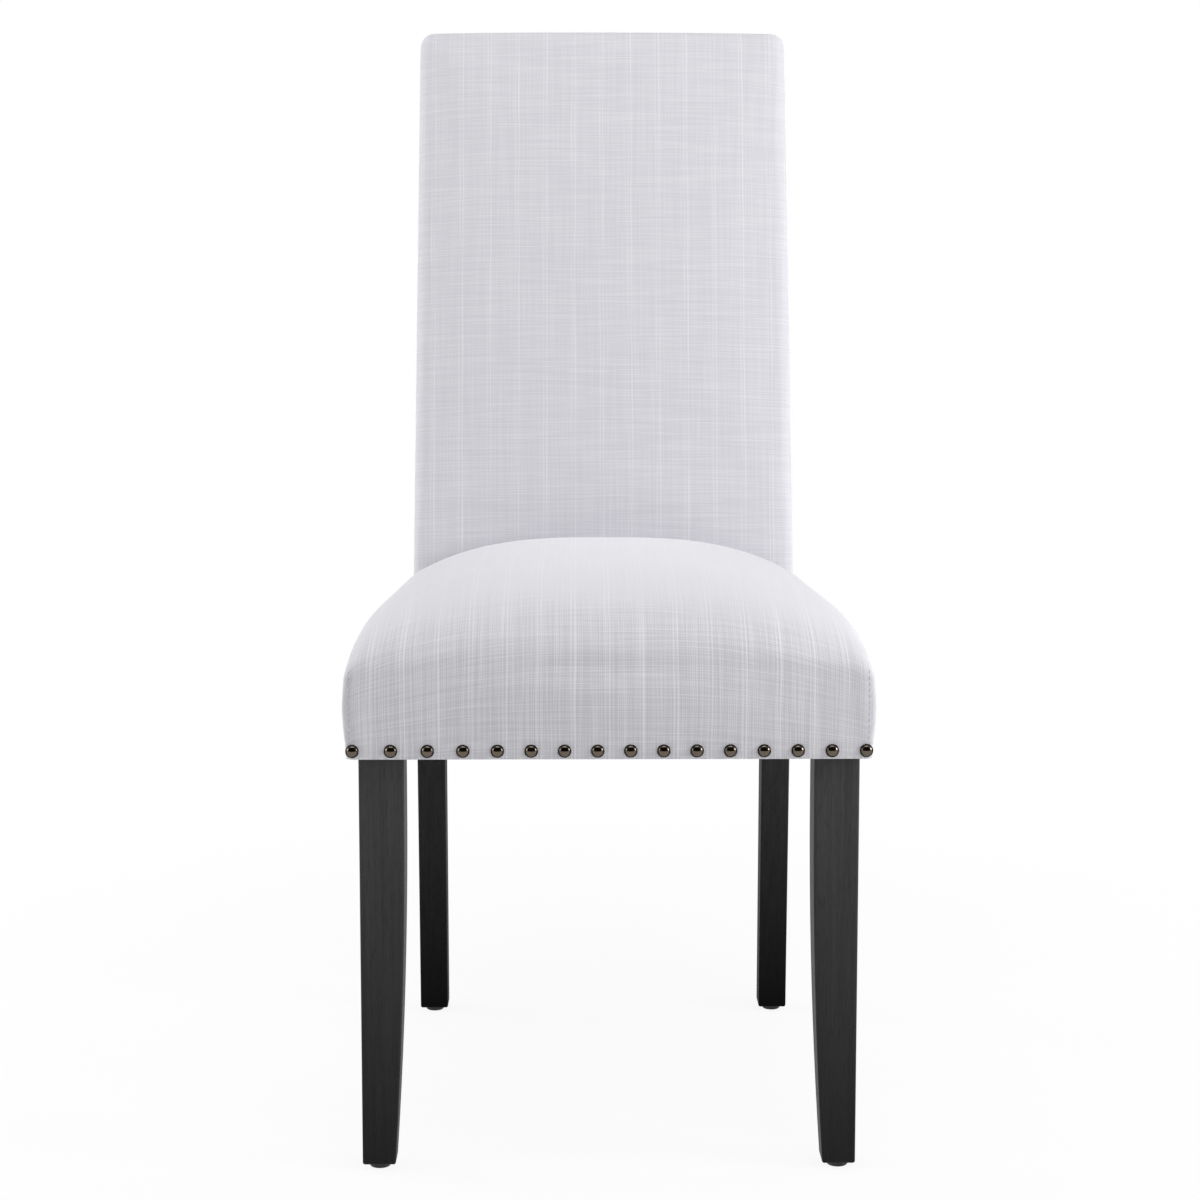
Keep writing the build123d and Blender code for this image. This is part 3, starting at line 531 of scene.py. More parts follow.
# The same wood in the rear posts, painted darker and with less gloss as shade for standing under the seat,
# with stronger painted shade towards the feet.
SHADED_POST = GrainedWood("black_stained_post_painted_shade", "#3A3939", "#454444", GrainAxis.UP, (0.5, 0.65),
                           specular=0.05, foot_shade=0.95, foot_shade_rise=420.0 * MM)
# Poplar, planed and left raw: pale, matt, hidden in the frame.
RAIL_ACROSS = GrainedWood("frame_wood_across", "#B48E62", "#D3B48B", GrainAxis.ACROSS)
RAIL_DEEP = GrainedWood("frame_wood_deep", "#B48E62", "#D3B48B", GrainAxis.DEEP)
# Beech, turned: a little warmer and lighter than the rails.
DOWEL = GrainedWood("dowel_wood", "#C09A6C", "#DDBE95", GrainAxis.ACROSS)
# Birch plywood, sanded: the broad, quiet figure of a peeled sheet.
PLYWOOD = GrainedWood("plywood", "#B9966A", "#DABD92", GrainAxis.DEEP, fibre=9.0 * MM, fibre_run=260.0 * MM)
# Hardboard, pressed from steamed fibre: brown, smooth, finely mottled.
HARDBOARD = Speckled("hardboard", "#4B3422", "#73543A", 1.2 * MM, 0.6, 0.05 * MM)
# Antique bronze over steel: a bright dome in a rim darkened by patina and by painted shade.
BRONZE = AgedBronze()
# Steel, electroplated with zinc: cool grey with faint clouds.
ZINC = PlatedMetal("zinc_steel", "#8E9096", "#B9BBC0", 2.5 * MM, (0.28, 0.42))
# Polypropylene, moulded: black and slightly grained.
GLIDE = Speckled("glide_plastic", "#101010", "#1C1C1C", 0.8 * MM, 0.45, 0.05 * MM)
# Spun-bonded cloth: black fibres pressed to a thin felt.
FELT = Speckled("dust_cover_cloth", "#0B0B0C", "#1D1D1F", 0.9 * MM, 0.95, 0.12 * MM)
# Polyurethane foam, cut: cream, with open cells.
FOAM = Speckled("cushion_foam", "#D9CFA6", "#EFE7C6", 1.1 * MM, 0.95, 0.3 * MM)
# Brushed cotton, dyed black: it shows as a dark band in the nails.
FLAG_CLOTH = Speckled("studio_flag", "#0C0C0C", "#161616", 5.0 * MM, 0.9, 0.1 * MM)

NODE_FINISHES: dict[Finish, tuple[str, ...]] = {
    STAINED_LEG: ("left_front_leg", "right_front_leg"),
    SHADED_POST: ("left_back_post", "right_back_post"),
    RAIL_ACROSS: ("front_rail", "rear_rail", "back_bottom_rail", "back_middle_rail", "back_top_rail",
                  "front_corner_blocks", "rear_corner_blocks"),
    RAIL_DEEP: ("left_side_rail", "right_side_rail"),
    DOWEL: ("rail_dowels", "back_rail_dowels"),
    PLYWOOD: ("seat_deck",),
    HARDBOARD: ("back_panel", "back_rear_board"),
    ZINC: ("corner_block_screws", "deck_screws", "dust_cover_staples", "back_panel_staples", "hanger_bolts",
           "hanger_bolt_washers", "hanger_bolt_nuts", "seat_bolts", "seat_bolt_washers", "seat_bolt_inserts"),
    GLIDE: ("front_leg_glides", "rear_leg_glides"),
}


def dress_nodes() -> None:
    """Give every piece of the frame that stays in view its finish."""
    for finish, nodes in NODE_FINISHES.items():
        for node in nodes:
            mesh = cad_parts[node].data
            mesh.materials.clear()
            mesh.materials.append(material_of(finish))
        log.info("%s on %d nodes", finish.name, len(nodes))


def roll_fall(distance: np.ndarray | float, depth: float) -> np.ndarray | float:
    """Share of a rolled edge's fall that is left at a distance from the end.

    Args:
        distance: Distance from the end of the piece.
        depth: How far the roll reaches.

    Returns:
        The share, 1 at the end and 0 past the roll.
    """
    reach = np.clip(1.0 - np.asarray(distance) / depth, 0.0, 1.0)
    return 1.0 - np.sqrt(1.0 - reach ** 2)


def smooth_step(value: np.ndarray | float, low: float, high: float) -> np.ndarray | float:
    """Ease from 0 at the low value to 1 at the high one.

    Args:
        value: Value to look up.
        low: Where the ease starts.
        high: Where it ends.

    Returns:
        The eased share.
    """
    share = np.clip((np.asarray(value) - low) / (high - low), 0.0, 1.0)
    return share * share * (3 - 2 * share)


def run_lengths(points: np.ndarray, axis: int = 0) -> np.ndarray:
    """Length along lines of points, from each line's start.

    Args:
        points: Points, with their coordinates on the last axis.
        axis: Axis that runs along the lines.

    Returns:
        Length at each point.
    """
    steps = np.linalg.norm(np.diff(points, axis=axis), axis=-1)
    pad = [(0, 0)] * steps.ndim
    pad[axis] = (1, 0)
    return np.cumsum(np.pad(steps, pad), axis=axis)


def spaced(points: np.ndarray, count: int) -> np.ndarray:
    """Evenly spaced points along a line.

    Args:
        points: Dense points of the line.
        count: Number of cells that it is cut into.

    Returns:
        The count + 1 points.
    """
    run = run_lengths(points)
    wanted = np.linspace(0.0, run[-1], count + 1)
    return np.stack([np.interp(wanted, run, points[:, part]) for part in range(points.shape[1])], axis=1)


# Points of the dense lines that a padded section is cut from, and the search for where its shoulder ends.
FLANK_POINTS = 60
SHOULDER_POINTS = 41
CAP_POINTS = 120
TURN_TRIES = 40
TURN_RANGE = (math.radians(20), math.radians(90))
LEAST_CROWN = 0.1 * MM


def crowned_half(half_width: float, base: float, band: float, edge: float, shoulder: float, crown: float,
                 power: float, fullness: float, flap_cells: int,
                 top_cells: int) -> tuple[np.ndarray, np.ndarray]:
    """Right half of a padded section, from its foot up the side and over the shoulder to its middle.

    Args:
        half_width: Half the width at the foot.
        base: Height of the foot.
        band: Height where the side starts to swell.
        edge: Height where the shoulder starts.
        shoulder: Radius of the shoulder.
        crown: Rise of the middle above the shoulder.
        power: How flat the crown is in the middle, 2 for a plain bow.
        fullness: Swell of the side.
        flap_cells: Cells on the side, up to the middle of the shoulder.
        top_cells: Cells from there to the middle of the section.

    Returns:
        Points (across, up) of the side, from the foot, and of the top, from the shoulder.
    """
    run = half_width - shoulder
    rise = max(crown, LEAST_CROWN)
    low, high = TURN_RANGE
    for _ in range(TURN_TRIES):
        turn = (low + high) / 2
        joint = run + shoulder * math.cos(turn)
        drop = joint / math.tan(turn) / power
        if drop > rise + shoulder * (1 - math.sin(turn)):
            low = turn
        else:
            high = turn
    up = np.linspace(base, edge, FLANK_POINTS)
    swell = fullness * np.sin(math.pi * np.clip((up - band) / (edge - band), 0, 1)) ** 2
    flank = np.stack([half_width + swell, up], axis=1)
    angle = np.linspace(0.0, turn, SHOULDER_POINTS)
    round_edge = np.stack([run + shoulder * np.cos(angle), edge + shoulder * np.sin(angle)], axis=1)
    across = np.linspace(joint, 0.0, CAP_POINTS)
    cap = np.stack([across, edge + shoulder + rise - drop * (across / joint) ** power], axis=1)
    half = len(angle) // 2
    side = np.concatenate([flank[:-1], round_edge[:half + 1]])
    top = np.concatenate([round_edge[half:-1], cap])
    return spaced(side, flap_cells), spaced(top, top_cells)


def mirror_row(half: np.ndarray) -> np.ndarray:
    """Full row across a piece from its right half.

    Args:
        half: Points from the right edge to the middle, with X first.

    Returns:
        Points from the left edge to the right edge.
    """
    left = half * np.array([-1.0] + [1.0] * (half.shape[1] - 1))
    return np.concatenate([left, half[::-1][1:]])


class PaddedForm:
    """Closed padded form on a grid of cloth cells, with one map of flat cloth over all its panels."""

    def __init__(self, name: str, cells: tuple[int, int, int]) -> None:
        """Cut a box into cells and remember each vertex's and face's place on it.

        Args:
            name: Name of the piece.
            cells: Cells across, deep and high, with an even number across.
        """
        self.name = name
        self.cells = cells
        self.bm = bmesh.new()
        bmesh.ops.create_cube(self.bm, size=2.0)
        for axis, count in enumerate(cells):
            lines = [e for e in self.bm.edges if abs(e.verts[0].co[axis] - e.verts[1].co[axis]) > 1.0]
            bmesh.ops.subdivide_edges(self.bm, edges=lines, cuts=count - 1, use_grid_fill=True)
        self.bm.verts.ensure_lookup_table()
        self.bm.verts.index_update()
        unit = np.array([v.co for v in self.bm.verts])
        self.index = np.rint((unit + 1) / 2 * np.array(cells)).astype(int)
        self.panel = self.bm.faces.layers.int.new(PANEL)
        for face in self.bm.faces:
            middle = face.calc_center_median()
            axis = max(range(3), key=lambda part: abs(middle[part]))
            face[self.panel] = 2 * axis + (1 if middle[axis] > 0 else 0)

    def on(self, panel: Panel) -> np.ndarray:
        """Indices of the vertices on one panel, its edges included."""
        axis, side = divmod(panel.value, 2)
        return np.flatnonzero(self.index[:, axis] == side * self.cells[axis])

    def grid_of(self, panel: Panel, vertices: np.ndarray) -> tuple[np.ndarray, np.ndarray]:
        """Places of vertices on a panel's own grid.

        Args:
            panel: The panel.
            vertices: Vertex indices on it.

        Returns:
            Grid numbers along the panel's first and second direction.
        """
        axis = panel.value // 2
        first, second = [part for part in range(3) if part != axis]
        return self.index[vertices, first], self.index[vertices, second]

    def place(self, grids: dict[Panel, np.ndarray]) -> None:
        """Move every vertex to its place.

        Args:
            grids: Points of each panel's grid, over its first and second direction.
        """
        points = np.zeros((len(self.bm.verts), 3))
        for panel, grid in grids.items():
            vertices = self.on(panel)
            points[vertices] = grid[self.grid_of(panel, vertices)]
        set_points(self.bm.verts, points)

    def map_cloth(self, maps: dict[Panel, np.ndarray]) -> None:
        """Lay the flat cloth's map over the panels.

        Args:
            maps: Places on the flat cloth for each panel's grid.
        """
        layer = self.bm.loops.layers.uv.new(WEAVE_MAP)
        for face in self.bm.faces:
            panel = Panel(face[self.panel])
            vertices = np.array([loop.vert.index for loop in face.loops])
            places = maps[panel][self.grid_of(panel, vertices)]
            for loop, place in zip(face.loops, places):
                loop[layer].uv = place

    def to_object(self) -> Object:
        """Make the form an object of the scene, with its faces outwards.

        Returns:
            The object.
        """
        bmesh.ops.recalc_face_normals(self.bm, faces=self.bm.faces)
        return new_object(self.name, self.bm)


def set_points(vertices: Iterable[BMVert], points: np.ndarray) -> None:
    """Move a bmesh's vertices to their places, row by row."""
    for vertex, point in zip(vertices, points):
        vertex.co = point


def face_towards(bm: BMesh, direction: Vector) -> None:
    """Turn the faces of an open sheet the same way, towards a direction.

    Args:
        bm: The sheet.
        direction: Where its right side looks.
    """
    bmesh.ops.recalc_face_normals(bm, faces=bm.faces)
    if sum(f.normal.dot(direction) for f in bm.faces) < 0:
        bmesh.ops.reverse_faces(bm, faces=bm.faces)


def new_object(name: str, bm: BMesh, *finishes: Finish) -> Object:
    """Make an object of a bmesh, which is freed.

    Args:
        name: Name of the piece.
        bm: Its bmesh.
        finishes: Finishes of its material slots.

    Returns:
        The object, smooth shaded and linked to the scene.
    """
    mesh = bpy.data.meshes.new(name)
    for face in bm.faces:
        face.smooth = True
    bm.to_mesh(mesh)
    bm.free()
    for finish in finishes:
        mesh.materials.append(material_of(finish))
    obj = bpy.data.objects.new(name, mesh)
    bpy.context.scene.collection.objects.link(obj)
    return obj


def vertex_points(mesh: Mesh) -> np.ndarray:
    """Vertex places of a mesh.

    Args:
        mesh: The mesh.

    Returns:
        Array with a row for each vertex.
    """
    points = np.empty(len(mesh.vertices) * 3)
    mesh.vertices.foreach_get("co", points)
    return points.reshape(-1, 3)


def move_vertices(mesh: Mesh, points: np.ndarray) -> None:
    """Set the vertex places of a mesh from an array of rows."""
    mesh.vertices.foreach_set("co", points.ravel())
    mesh.update()


@dataclass(frozen=True)
class CoverCloth:
    """Cloth stretched over padding: how it swells when the padding presses on it.

    Only the swelling outwards is kept, because the frame inside stops the cloth from sinking in.
    """

    pressure: float
    most: float = 4.0 * MM
    stiffness: float = 30.0
    bending: float = 1.5
    mass: float = 0.3
    quality: int = 4
    frames: int = 16

    def swell(self, obj: Object, held: np.ndarray) -> None:
        """Press the padding against the cover and keep the result in the mesh.

        Args:
            obj: Cover with its faces outwards.
            held: Indices of the vertices that are tacked down.
        """
        group = obj.vertex_groups.new(name="tacked")
        group.add(held.tolist(), 1.0, "REPLACE")
        cloth = obj.modifiers.new("cover", "CLOTH")
        settings = cloth.settings
        settings.quality = self.quality
        settings.mass = self.mass
        settings.tension_stiffness = self.stiffness
        settings.compression_stiffness = self.stiffness
        settings.shear_stiffness = self.stiffness / 2
        settings.bending_stiffness = self.bending
        settings.vertex_group_mass = group.name
        settings.use_pressure = True
        settings.uniform_pressure_force = self.pressure
        settings.effector_weights.gravity = 0.0
        scene = bpy.context.scene
        for number in range(1, self.frames + 1):
            scene.frame_set(number)
        posed = obj.evaluated_get(bpy.context.evaluated_depsgraph_get())
        start, end = vertex_points(obj.data), vertex_points(posed.data)
        obj.modifiers.remove(cloth)
        obj.vertex_groups.remove(group)
        scene.frame_set(1)
        normals = np.empty(start.size)
        obj.data.vertices.foreach_get("normal", normals)
        normals = normals.reshape(-1, 3)
        outward = np.sum((end - start) * normals, axis=1, keepdims=True)
        move_vertices(obj.data, start + normals * np.clip(outward, 0.0, self.most))
        log.info("%s swelled by up to %.1f mm", obj.name, float(outward.max()) / MM)


def subdivided(obj: Object) -> BMesh:
    """Take an object out of the scene as a bmesh with each cell cut in four and smoothed.

    Args:
        obj: Object to take; it is removed.

    Returns:
        The finer bmesh.
    """
    modifier = obj.modifiers.new("finer", "SUBSURF")
    modifier.levels = 1
    modifier.render_levels = 1
    posed = obj.evaluated_get(bpy.context.evaluated_depsgraph_get())
    bm = bmesh.new()
    bm.from_mesh(posed.data)
    mesh = obj.data
    bpy.data.objects.remove(obj)
    bpy.data.meshes.remove(mesh)
    bm.faces.ensure_lookup_table()
    return bm


def ring_depths(distance: np.ndarray, width: float) -> np.ndarray:
    """Depth of a sewn valley at distances from its seam, 1 on the seam."""
    return np.exp(-(distance / width) ** 2)


@dataclass
class Ring:
    """Edge loop that a padded form is closed from, with the place that each vertex started from."""

    bm: BMesh
    edges: list[BMEdge]
    home: dict[BMVert, Vector]

    @classmethod
    def round_patch(cls, bm: BMesh, patch: list[BMFace]) -> "Ring":
        """Open a form by taking out a patch of faces.

        Args:
            bm: The form.
            patch: Faces to take out.

        Returns:
            The loop round the opening.
        """
        inside = set(patch)
        edges = [e for f in patch for e in f.edges if sum(other in inside for other in e.link_faces) == 1]
        bmesh.ops.delete(bm, geom=patch, context="FACES")
        return cls(bm, edges, {v: v.co.copy() for e in edges for v in e.verts})

    def grow(self, material: int) -> None:
        """Add a strip of faces along the loop, in place, and step to its new edge.

        Args:
            material: Material slot of the strip.
        """
        by_place = {v.co.copy().freeze(): place for v, place in self.home.items()}
        made = bmesh.ops.extrude_edge_only(self.bm, edges=self.edges)["geom"]
        self.edges = [g for g in made if isinstance(g, BMEdge)]
        self.home = {v: by_place[v.co.copy().freeze()] for e in self.edges for v in e.verts}
        for strip in made:
            if isinstance(strip, BMFace):
                strip.material_index = material

    def close(self, material: int, bend: float | None = None) -> None:
        """Close the loop with a face, or with two that meet at a bend.

        Args:
            material: Material slot of the face.
            bend: Height of the bend, where there is one.
        """
        halves = [self.edges]
        if bend is not None:
            height = min((abs(v.co.z - bend), v.co.z) for v in self.home)[1]
            ends = sorted((v for v in self.home if abs(v.co.z - height) < SAME_LEVEL), key=lambda v: v.co.x)
            bridge = self.bm.edges.new((ends[0], ends[-1]))
            lower = [e for e in self.edges if sum(v.co.z for v in e.verts) / 2 < height]
            upper = [e for e in self.edges if sum(v.co.z for v in e.verts) / 2 > height]
            halves = [lower + [bridge], upper + [bridge]]
        for loop in halves:
            for face in bmesh.ops.contextual_create(self.bm, geom=loop)["faces"]:
                face.material_index = material
        bmesh.ops.recalc_face_normals(self.bm, faces=self.bm.faces)


def loose_centres(mesh: Mesh) -> np.ndarray:
    """Middles of the separate solids of a mesh.

    Args:
        mesh: Mesh of a group of equal solids.

    Returns:
        One point for each solid, the middle of its box.
    """
    bm = bmesh.new()
    bm.from_mesh(mesh)
    bmesh.ops.remove_doubles(bm, verts=bm.verts, dist=SAME_PLACE)
    seen: set[BMVert] = set()
    centres = []
    for start in bm.verts:
        if start in seen:
            continue
        group, queue = [], [start]
        seen.add(start)
        while queue:
            vertex = queue.pop()
            group.append(vertex.co.copy())
            for edge in vertex.link_edges:
                other = edge.other_vert(vertex)
                if other not in seen:
                    seen.add(other)
                    queue.append(other)
        box = np.array(group)
        centres.append((box.min(axis=0) + box.max(axis=0)) / 2)
    bm.free()
    return np.array(centres)


def declare(obj: Object, slot: str, *nodes: str) -> None:
    """Say what a piece rides on and stands for.

    Args:
        obj: The piece.
        slot: Material slot of the record; not used.
        nodes: Nodes of the frame that it stands for, if any.
    """
    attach(obj, BODY)
    if nodes:
        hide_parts(*nodes)
    log.info("%s: %d faces", obj.name, len(obj.data.polygons))


def on_cloth(across: np.ndarray, along: np.ndarray) -> np.ndarray:
    """Places on flat cloth, from distances across and along it."""
    return np.stack(np.broadcast_arrays(across, along), axis=-1)


class CoveredPad(ABC):
    """Foam and cover of one soft form: shaped on a grid, swelled, sewn and closed round the frame."""

    name: str
    cover: Finish
    nodes: tuple[str, str]
    opening: Panel
    pressure: float
    fill: float

    @abstractmethod
    def cells(self) -> tuple[int, int, int]:
        """Cells of cloth across, deep and high."""

    @abstractmethod
    def grids(self, cells: tuple[int, int, int]) -> dict[Panel, np.ndarray]:
        """Points of every panel's grid."""

    @abstractmethod
    def cloth_maps(self, grids: dict[Panel, np.ndarray]) -> dict[Panel, np.ndarray]:
        """Places on the flat cloth for every panel's grid."""

    @abstractmethod
    def tacked(self, form: PaddedForm, points: np.ndarray) -> np.ndarray:
        """Indices of the vertices that stay put while the cover swells."""

    @abstractmethod
    def close_round_frame(self, bm: BMesh, patch: list[BMFace]) -> None:
        """Turn the cover's edge in and run the pad's inside along the frame."""

    def sew(self, bm: BMesh, patch: list[BMFace]) -> None:
        """Sink seams and dimples into the cover; a plain cover has none."""

    def build(self) -> Object:
        """Model the pad, swell its cover and close it round the frame.

        Returns:
            The finished piece.
        """
        form = PaddedForm(self.name, self.cells())
        grids = self.grids(form.cells)
        form.place(grids)
        form.map_cloth(self.cloth_maps(grids))
        obj = form.to_object()
        CoverCloth(self.pressure).swell(obj, self.tacked(form, vertex_points(obj.data)))
        bm = subdivided(obj)
        panel = bm.faces.layers.int[PANEL]
        patch = [f for f in bm.faces if f[panel] == self.opening.value]
        self.sew(bm, patch)
        self.close_round_frame(bm, patch)
        pad = new_object(self.name, bm, self.cover, FOAM)
        declare(pad, LINEN_SLOT, *self.nodes)
        return pad


@dataclass
class SeatPad(CoveredPad):
    """Seat foam and cover: a crowned form with a rolled front, tacked down by a row of nails."""

    name: str = "seat_pad"
    cover: Finish = SEAT_LINEN
    nodes: tuple[str, str] = ("seat_cover", "seat_foam")
    opening: Panel = Panel.LOW
    pressure: float = 0.75
    fill: float = 0.9
    front_width: float = 440.0 * MM
    rear_width: float = 387.0 * MM
    edge_rise: float = 88.3 * MM
    shoulder: float = 25.0 * MM
    crown: float = 31.0 * MM
    crown_power: float = 3.0
    front_shoulder: float = 14.0 * MM
    front_crown: float = 11.0 * MM
    front_roll: float = 160.0 * MM
    front_drop: float = 30.0 * MM
    rear_crown: float = 14.0 * MM
    rear_roll: float = 45.0 * MM
    rear_drop: float = 8.0 * MM
    side_band: float = 20.0 * MM
    side_fullness: float = 1.0 * MM
    front_fullness: float = 2.0 * MM
    corner_radius: float = 5.0 * MM
    seam_bulk: float = 1.5 * MM
    bulk_width: float = 11.0 * MM
    seam_depth: float = 1.1 * MM
    seam_width: float = 2.6 * MM
    seam_foot: tuple[float, float] = (10.0 * MM, 30.0 * MM)
    seam_head: tuple[float, float] = (-10.0 * MM, 40.0 * MM)
    pucker: float = 0.25
    pucker_pitch: float = 7.0 * MM
    weft_drawn: float = 0.6
    hem: float = 1.6 * MM
    turn_in: float = 22.0 * MM
    cloth_thickness: float = 2.0 * MM
    rail_rise: float = 60.6 * MM
    deck_inset: float = 10.0 * MM
    deck_rise: float = 69.6 * MM
    nail_reach: float = 6.0 * MM
    dimple: float = 0.9 * MM
    dimple_width: float = 8.4 * MM
    cell: float = 7.0 * MM
    shoulder_cells: int = 2
    roll_spare: float = 1.1
    profile_steps: int = 4001

    def __post_init__(self) -> None:
        """Take the seat's place from the frame."""
        low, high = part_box("seat_cover")
        self.front, self.rear = low.y, high.y
        self.underside = low.z
        self.depth = high.y - low.y
        self.slope = (self.front_width - self.rear_width) / 2 / self.depth

    def cells(self) -> tuple[int, int, int]:
        """Cells of cloth across, deep and high.

        Returns:
            The three counts, an even one across.
        """
        across = 2 * round(self.front_width / self.cell / 2)
        deep = round(self.depth * self.roll_spare / self.cell)
        return across, deep, round(self.edge_rise / self.cell) + self.shoulder_cells

    def half_width(self, depth: float) -> float:
        """Half the width of the cover at a depth, rounded in at the front corners."""
        rounding = self.corner_radius * float(roll_fall(depth, self.corner_radius))
        return self.front_width / 2 - self.slope * depth - rounding

    def falls(self, depth: np.ndarray | float) -> tuple[Any, Any]:
        """Shares of the front roll's and of the rear roll's fall at a depth."""
        return roll_fall(depth, self.front_roll), roll_fall(self.depth - np.asarray(depth), self.rear_roll)

    def levels(self, depth: np.ndarray | float) -> tuple[Any, Any, Any]:
        """Levels of the section at a depth.

        Args:
            depth: Distance behind the seat's front.

        Returns:
            Height of the side edge, shoulder radius and crown.
        """
        front, rear = self.falls(depth)
        edge = self.underside + self.edge_rise - self.front_drop * front - self.rear_drop * rear
        shoulder = self.shoulder - (self.shoulder - self.front_shoulder) * front
        crown = self.crown - (self.crown - self.front_crown) * front - (self.crown - self.rear_crown) * rear
        return edge, shoulder, crown

    def row_depths(self, count: int) -> np.ndarray:
        """Depths of the cloth's rows, evenly spaced over the rolled top.

        Args:
            count: Number of cells from front to rear.

        Returns:
            The count + 1 depths.
        """
        dense = self.depth * (1 - np.cos(np.linspace(0, math.pi, self.profile_steps))) / 2
        profile = np.stack([dense, sum(self.levels(dense))], axis=1)
        return spaced(profile, count)[:, 0]

    def sections(self, cells: tuple[int, int, int]) -> tuple[np.ndarray, np.ndarray]:
        """Sections across the seat at every row.

        Args:
            cells: Cells across, deep and high.

        Returns:
            Right side points over rows and levels, and top points over columns and rows.
        """
        across, deep, high = cells
        sides, tops = [], []
        for depth in self.row_depths(deep):
            edge, shoulder, crown = self.levels(depth)
            side, top = crowned_half(
                self.half_width(depth), self.underside + self.hem, self.underside + self.side_band, edge,
                shoulder, crown, self.crown_power, self.side_fullness, high, across // 2)
            sides.append(np.insert(side, 1, self.front + depth, axis=1))
            tops.append(mirror_row(np.insert(top, 1, self.front + depth, axis=1)))
        return np.array(sides), np.array(tops).transpose(1, 0, 2)

    def end_cap(self, side: np.ndarray, top: np.ndarray, fullness: float) -> np.ndarray:
        """Front or rear face between the two corner seams.

        Args:
            side: Right edge of the face, from the foot up.
            top: Upper edge of the face, from left to right.
            fullness: How far the face swells forwards.

        Returns:
            Points over columns and levels.
        """
        share = (side[:, 2] - side[0, 2]) / (side[-1, 2] - side[0, 2])
        across = top[:, 0] / top[-1, 0]
        grid = np.zeros((len(top), len(side), 3))
        grid[..., 0] = across[:, None] * side[None, :, 0]
        grid[..., 2] = side[None, :, 2] + (top[:, 2] - top[-1, 2])[:, None] * share[None, :]
        rise = (grid[..., 2] - self.underside - self.side_band) / (self.edge_rise - self.side_band)
        swell = np.sin(math.pi * np.clip(rise, 0, 1)) ** 2 * (1 - across[:, None] ** 4)
        grid[..., 1] = side[None, :, 1] - fullness * swell
        return grid

    def grids(self, cells: tuple[int, int, int]) -> dict[Panel, np.ndarray]:
        """Points of every panel's grid.

        Args:
            cells: Cells across, deep and high.

        Returns:
            Points over each panel's first and second direction.
        """
        sides, tops = self.sections(cells)
        low = tops.copy()
        low[..., 0] = (tops[..., 0] / tops[-1:, :, 0]) * sides[None, :, 0, 0]
        low[..., 2] = self.underside + self.hem
        return {Panel.LOW: low, Panel.TOP: tops, Panel.LEFT: sides * MIRRORED, Panel.RIGHT: sides,
                Panel.FRONT: self.end_cap(sides[0], tops[:, 0], self.front_fullness),
                Panel.REAR: self.end_cap(sides[-1], tops[:, -1], 0.0)}

    def cloth_maps(self, grids: dict[Panel, np.ndarray]) -> dict[Panel, np.ndarray]:
        """Flat cloth of the cover, cut as one piece that is sewn up at the corners.

        Args:
            grids: Points of every panel's grid.

        Returns:
            Places on the flat cloth for each panel.
        """
        tops, front, rear = (grids[panel] for panel in (Panel.TOP, Panel.FRONT, Panel.REAR))
        middle = len(tops) // 2
        rows = run_lengths(tops, axis=1)
        rows = rows - rows[:, -1:]
        columns = run_lengths(tops, axis=0)
        columns = columns - columns[middle]
        down, fall, drop = (run_lengths(grid[:, ::-1], axis=1)[:, ::-1]
                            for grid in (grids[Panel.RIGHT], front, rear))
        over_edge = columns[:, :1] + front[..., 0] - front[:, -1:, 0]
        # Tacked down level along the nails, the weft is drawn straighter towards the foot.
        foot = rows[middle, 0] - fall[middle, 0]
        drawn = 1 + self.weft_drawn * ((rows[:, :1] - foot) / fall[:, :1] - 1)
        return {Panel.TOP: on_cloth(columns, rows),
                Panel.RIGHT: on_cloth(columns[-1][:, None] + down, rows[-1][:, None]),
                Panel.LEFT: on_cloth(columns[0][:, None] - down, rows[0][:, None]),
                Panel.FRONT: on_cloth(over_edge, rows[:, :1] - fall * drawn),
                Panel.REAR: on_cloth(rear[..., 0], rows[:, -1:] + drop),
                Panel.LOW: grids[Panel.LOW][..., :2]}

    def nail_points(self) -> np.ndarray:
        """Middles of all nail heads on the seat, taken from the frame's own nails."""
        return np.concatenate([loose_centres(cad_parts[node].data) for node in NAIL_NODES])

    def tacked(self, form: PaddedForm, points: np.ndarray) -> np.ndarray:
        """Vertices that stay put: the underside, the rear and the cloth under each nail.

        Args:
            form: The pad's grid.
            points: Places of its vertices.

        Returns:
            Their indices.
        """
        under_nail = np.zeros(len(points), bool)
        for nail in self.nail_points():
            away = np.linalg.norm(points[:, [0, 2]] - nail[[0, 2]], axis=1)
            deep = np.linalg.norm(points - nail, axis=1)
            under_nail |= np.minimum(away + np.abs(points[:, 1] - nail[1]), deep) < self.nail_reach
        hem = points[:, 2] < self.underside + self.cell / 2
        seat_joint = points[:, 1] > self.rear - self.cell
        return np.unique(np.concatenate([form.on(Panel.LOW), form.on(Panel.REAR),
                                         np.flatnonzero(hem | seat_joint | under_nail)]))

    def sew(self, bm: BMesh, patch: list[BMFace]) -> None:
        """Sink the nails' dimples and the corner seams into the cover.

        Args:
            bm: The cover, closed by a patch of faces.
            patch: Faces of that patch, which stay flat.
        """
        bm.normal_update()
        points = np.array([v.co for v in bm.verts])
        normals = np.array([v.normal for v in bm.verts])
        depth = np.zeros(len(points))
        for nail in self.nail_points():
            away = np.linalg.norm(points - nail, axis=1)
            depth = np.maximum(depth, self.dimple * ring_depths(away, self.dimple_width))
        depth += self.seam_relief(points)
        depth[sorted({v.index for f in patch for v in f.verts})] = 0.0
        set_points(bm.verts, points - normals * depth[:, None])

